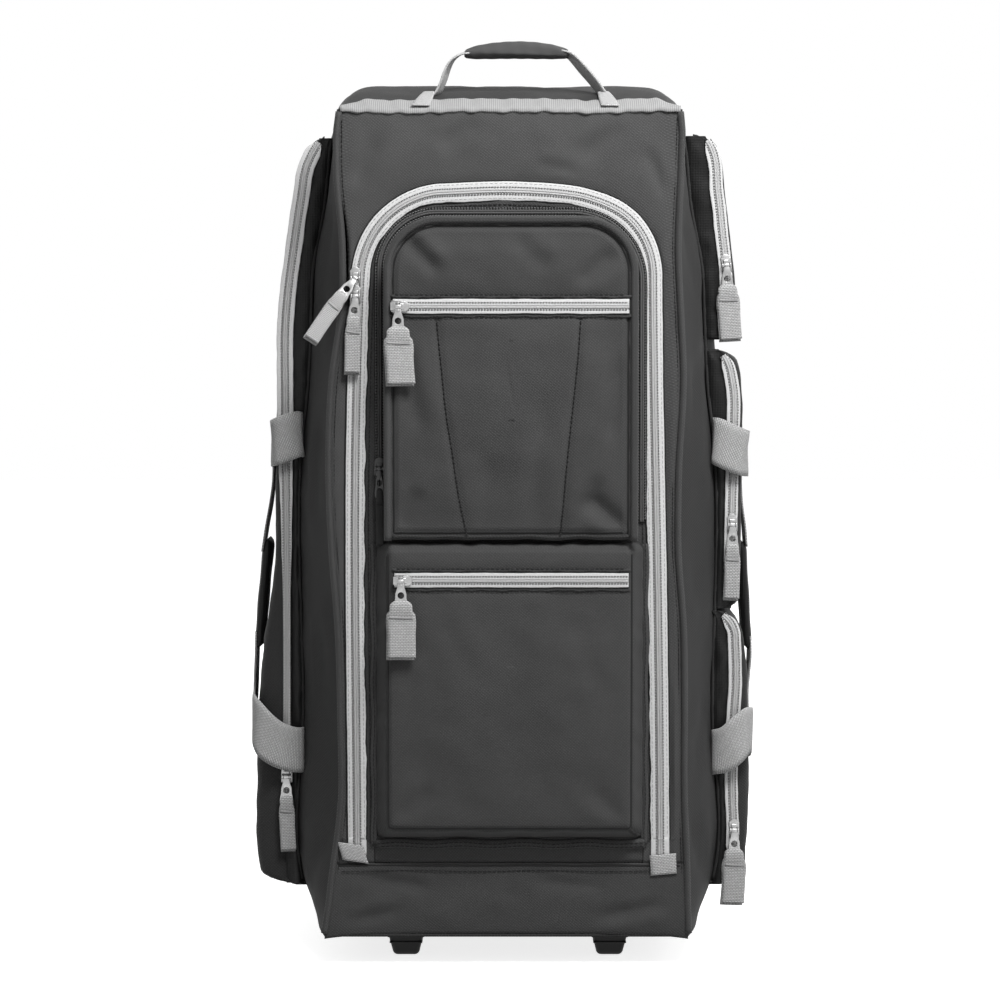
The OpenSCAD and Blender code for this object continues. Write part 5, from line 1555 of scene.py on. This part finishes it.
def build_pulls():
    slider, puller = slider_pattern(), puller_pattern()
    for name, (x, surface, z, flat, width, lean, lift, twist) in PULLS.items():
        turn = TOP_TURN if name == "right_top" else 0.0
        black = name == "organiser"
        metal = "black_metal" if black else None
        thin = Matrix.Scale(0.7, 4, (1, 0, 0)) if black else Matrix()
        piece = placed(slider, name + "_slider_cast", turned(x, surface, z, flat, turn), metal)
        ride(piece, name + "_slider", "slider_metal", name + "_slider")
        lay = hung(x, surface, z, lean, lift, turn)
        ride(placed(puller, name + "_puller", lay @ thin, metal), name + "_pull",
             "slider_metal", name + "_pull")
        tab = pull_tab(name + "_tab", lay, width, "black_tape" if black else "grey_webbing", twist)
        ride(tab, name + "_pull", "pull_webbing")
        bars = []
        bartack(lay, width, bars)
        sewn(name + "_bartack", bars, "black_tape" if black else "light_thread",
             name + "_pull", "pull_webbing")
    for pattern in (slider, puller):
        bpy.data.objects.remove(pattern, do_unlink=True)


def build_feet():
    feet = []
    for s in (-1, 1):
        x = s * 93.5
        foot = block("foot", (x - 18.5, -119, 0), (x + 18.5, -75, 30), 0, taper=(2, -1, (0.62, 0.5, 1)))
        edited(foot, lambda: bpy.ops.mesh.bisect(plane_co=(0, 0, 4 * MM), plane_no=(0, 0, 1)))
        bevelled(foot, 3.6, 4)
        sole = min(v.co.z for v in foot.data.vertices)
        for v in foot.data.vertices:
            v.co.z -= sole
        feet.append(foot)
        for n in range(3):
            half, z = 18.3 - 1.6 * n, 24.5 - 6 * n
            feet.append(block("rib", (x - half, -119.4 + 2.6 * n, z),
                              (x + half, -74.6 - 2.6 * n, z + 1.2), 0.4))
    piece = finish_hard(fused(feet, "front_feet_moulded"), "plastic")
    ride(piece, "root", "black_plastic", "front_feet")


# Half of a wheel's section, as (radius, sideways); the other half mirrors it
WHEEL = [(3.1, 11), (8, 11.6), (9.5, 11.6), (10.5, 8.4), (12, 7.4), (22, 7.2), (24.5, 8.4), (26, 11.2),
         (29, 11.8), (32.4, 11.2), (34.2, 9), (35, 5), (35, 1.0), (34.3, 0.5)]
WHEEL_X, WHEEL_Y, WHEEL_Z = 0.143, 0.153, 0.035


def build_wheels():
    profile = WHEEL + [(r, -x) for r, x in WHEEL[::-1]]
    count = len(profile)
    for side, name in ((-1, "wheel_left"), (1, "wheel_right")):
        mesh = bpy.data.meshes.new(name + "_rim")
        mesh.from_pydata([(x * MM, 0, r * MM) for r, x in profile],
                         [(n, (n + 1) % count) for n in range(count)], [])
        piece = bpy.data.objects.new(name + "_tyre", mesh)
        bpy.context.collection.objects.link(piece)
        edited(piece,
               lambda: bpy.ops.mesh.spin(steps=72, angle=math.tau, center=(0, 0, 0), axis=(1, 0, 0)),
               lambda: bpy.ops.mesh.remove_doubles(threshold=1e-6),
               lambda: bpy.ops.mesh.normals_make_consistent(inside=False))
        for n in range(6):
            a = math.tau * n / 6
            for face in (-1, 1):
                cut(piece, rod("hole", (face * 9.5, 17 * math.cos(a), 17 * math.sin(a)), "x",
                               3.6, 9, vertices=20))
        piece.data.transform(Matrix.Translation((side * WHEEL_X, WHEEL_Y, WHEEL_Z)))
        finish_hard(piece, "rubber", 30)
        piece.data.materials.append(MADE["hub"])
        for face in piece.data.polygons:
            from_axle = math.hypot(face.center.y - WHEEL_Y, face.center.z - WHEEL_Z)
            face.material_index = 1 if from_axle < 0.0255 else 0
        ride(piece, name, "wheel_rubber", name)


def restyle(node, material):
    """Gives a CAD node whose shape is right its material."""
    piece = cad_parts[node]
    for slot in piece.material_slots:
        slot.material = MADE[material]
    if not piece.material_slots:
        piece.data.materials.append(MADE[material])


def welded(mesh):
    """Joins the corners of a CAD mesh and merges its flat faces."""
    bmesh.ops.remove_doubles(mesh, verts=mesh.verts, dist=1e-6)
    bmesh.ops.dissolve_limit(mesh, angle_limit=math.radians(1), verts=mesh.verts, edges=mesh.edges)


def build_gear():
    build_feet()
    build_wheels()
    for node, material in (("wheel_axles", "steel"), ("trolley_outer_tubes", "tube"),
                           ("trolley_inner_tubes", "tube"), ("base_board", "board"),
                           ("back_board", "board"), ("trolley_bracket", "plastic")):
        restyle(node, material)
    for node, name, material, slot, body, bevel in (
            ("wheel_housings", "wheel_housings_moulded", "plastic", "black_plastic", "root", 2.5),
            ("trolley_bezel", "trolley_bezel_moulded", "plastic", "black_plastic", "root", 1.6),
            ("trolley_grip", "trolley_grip_moulded", "plastic", "black_plastic", "trolley", 2.4),
            ("trolley_button", "trolley_button_moulded", "button", "button_plastic", "trolley_button", 1.2)):
        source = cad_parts[node]
        piece = source.copy()
        piece.data = source.data.copy()
        for key in list(piece.keys()):
            del piece[key]
        piece.parent = None
        piece.matrix_world = Matrix()
        piece.name = name
        bpy.context.collection.objects.link(piece)
        reworked(piece, welded)
        bevelled(piece, bevel, 3, angle_limit=math.radians(40))
        finish_hard(piece, material)
        ride(piece, body, slot, node)


# ---- stage ----

def either(tree, *values):
    """An output that is 1 where any of the values is."""
    found = values[0]
    for value in values[1:]:
        found = add_node(tree, "ShaderNodeMath", {0: found, 1: value}, operation="MAXIMUM").outputs[0]
    return found


def build_stage():
    scene = bpy.context.scene
    scene.view_settings.view_transform = "Standard"
    world = bpy.data.worlds.new("studio")
    scene.world = world
    world.use_nodes = True
    tree = world.node_tree
    base = tree.nodes["Background"]
    base.inputs["Color"].default_value = (1, 1, 1, 1)
    base.inputs["Strength"].default_value = 0.3
    rays = add_node(tree, "ShaderNodeLightPath").outputs
    seen = either(tree, rays["Is Camera Ray"], rays["Is Glossy Ray"], rays["Is Transmission Ray"])
    white = add_node(tree, "ShaderNodeBackground", {"Color": (1, 1, 1, 1), "Strength": 1.0})
    mix = add_node(tree, "ShaderNodeMixShader", {0: seen, 1: base.outputs[0], 2: white.outputs[0]})
    tree.links.new(mix.outputs[0], tree.nodes["World Output"].inputs[0])
    bpy.ops.object.select_all(action="DESELECT")
    bpy.ops.mesh.primitive_plane_add(size=12, location=(0, 0, -0.0004))
    floor = bpy.context.object
    floor.name = "studio_floor"
    paper = bpy.data.materials.new("white_paper")
    paper.use_nodes = True
    tree = paper.node_tree
    shader = tree.nodes["Principled BSDF"]
    shader.inputs["Base Color"].default_value = (0.8, 0.8, 0.8, 1)
    shader.inputs["Roughness"].default_value = 0.9
    plain_floor = add_node(tree, "ShaderNodeBsdfDiffuse", {"Color": (0.35, 0.35, 0.35, 1)})
    glow = add_node(tree, "ShaderNodeEmission", {"Color": (1, 1, 1, 1), "Strength": 0.8})
    rays = add_node(tree, "ShaderNodeLightPath").outputs
    lit = add_node(tree, "ShaderNodeAddShader", {0: shader.outputs[0], 1: glow.outputs[0]})
    dimmed = add_node(tree, "ShaderNodeMixShader", {
        0: either(tree, rays["Is Camera Ray"], rays["Is Glossy Ray"]), 1: plain_floor.outputs[0],
        2: lit.outputs[0]})
    tree.links.new(dimmed.outputs[0], tree.nodes["Material Output"].inputs["Surface"])
    floor.data.materials.append(paper)
    for name, place, aim, size, power in (
            ("key", (0.42, -1.15, 1.8), (0.02, 0, 0.72), 0.6, 33),
            ("fill", (1.9, -0.9, 1.1), (0, 0, 0.4), 1.3, 9),
            ("left_side", (-1.3, 2.1, 1.3), (0, 0, 0.4), 1.2, 17),
            ("back", (1.3, 2.2, 1.7), (0, 0, 0.45), 1.4, 32)):
        lamp = bpy.data.lights.new(name, "AREA")
        lamp.energy, lamp.size = power, size
        made = bpy.data.objects.new(name, lamp)
        made.location = place
        made.rotation_euler = (Vector(aim) - Vector(place)).to_track_quat("-Z", "Y").to_euler()
        bpy.context.collection.objects.link(made)
    camera = bpy.data.cameras.new("camera")
    camera.lens, camera.sensor_width = 100.65, 36
    camera.shift_y = -0.0635
    made = bpy.data.objects.new("camera", camera)
    made.location = (-0.0072, -2.65, 0.62)
    made.rotation_euler = (math.radians(90 - 3.2), 0, 0)
    bpy.context.collection.objects.link(made)
    scene.camera = made


# ---- operators and panel ----

def operator(name, label, text, *steps):
    """An operator that runs the steps in order. A step that fails raises an error."""

    def execute(self, context):
        for step in steps:
            step()
        return {"FINISHED"}

    return type("BAG_OT_" + name, (Operator,), {
        "bl_idname": "bag." + name, "bl_label": label, "__doc__": text, "execute": execute})


OPERATORS = [
    operator("materials", "Materials", "Make every cloth, webbing, metal and plastic", make_materials),
    operator("stage", "Stage", "Put in the floor, lamps and camera", build_stage),
    operator("body", "Body panels", "Sew the gussets, top, bottom and back",
             build_sides, build_top, build_bottom, build_back),
    operator("front", "Front", "Sew the front round the door, its band and its piping",
             build_surround, build_bottom_band, build_piping),
    operator("door", "Door", "Sew the door, its zip and its end tabs", build_door,
             build_main_zip, build_end_tabs),
    operator("door_pockets", "Door pockets", "Sew both pockets on the door", build_upper_pocket,
             build_lower_pocket),
    operator("side_pockets", "Side pockets", "Sew the pockets on both sides", build_side_pockets),
    operator("handles", "Handles", "Make the webbing handles and their grips",
             build_side_handles, build_top_webbing, build_top_handle),
    operator("pulls", "Sliders and pulls", "Cast the sliders and pullers and fold their tabs", build_pulls),
    operator("gear", "Rolling gear", "Finish the feet, wheels, housings and trolley", build_gear),
]


class BAG_PT_sidebar(Panel):
    bl_label = "Rolling bag"
    bl_idname = "BAG_PT_sidebar"
    bl_space_type = "VIEW_3D"
    bl_region_type = "UI"
    bl_category = "Bag"

    def draw(self, context):
        for group in (context.scene.bag_sizes, context.scene.bag_colours):
            for name in group.__annotations__:
                self.layout.prop(group, name)
        for made in OPERATORS:
            self.layout.operator(made.bl_idname)


CLASSES = [BagSizes, BagColours, *OPERATORS, BAG_PT_sidebar]


def register():
    for made in CLASSES:
        bpy.utils.register_class(made)
    bpy.types.Scene.bag_sizes = PointerProperty(type=BagSizes)
    bpy.types.Scene.bag_colours = PointerProperty(type=BagColours)


def unregister():
    del bpy.types.Scene.bag_sizes
    del bpy.types.Scene.bag_colours
    for made in reversed(CLASSES):
        bpy.utils.unregister_class(made)


def main():
    register()
    bpy.ops.object.select_all(action="DESELECT")
    for made in OPERATORS:
        getattr(bpy.ops.bag, made.bl_idname.split(".")[1])()


if __name__ == "__main__":
    main()
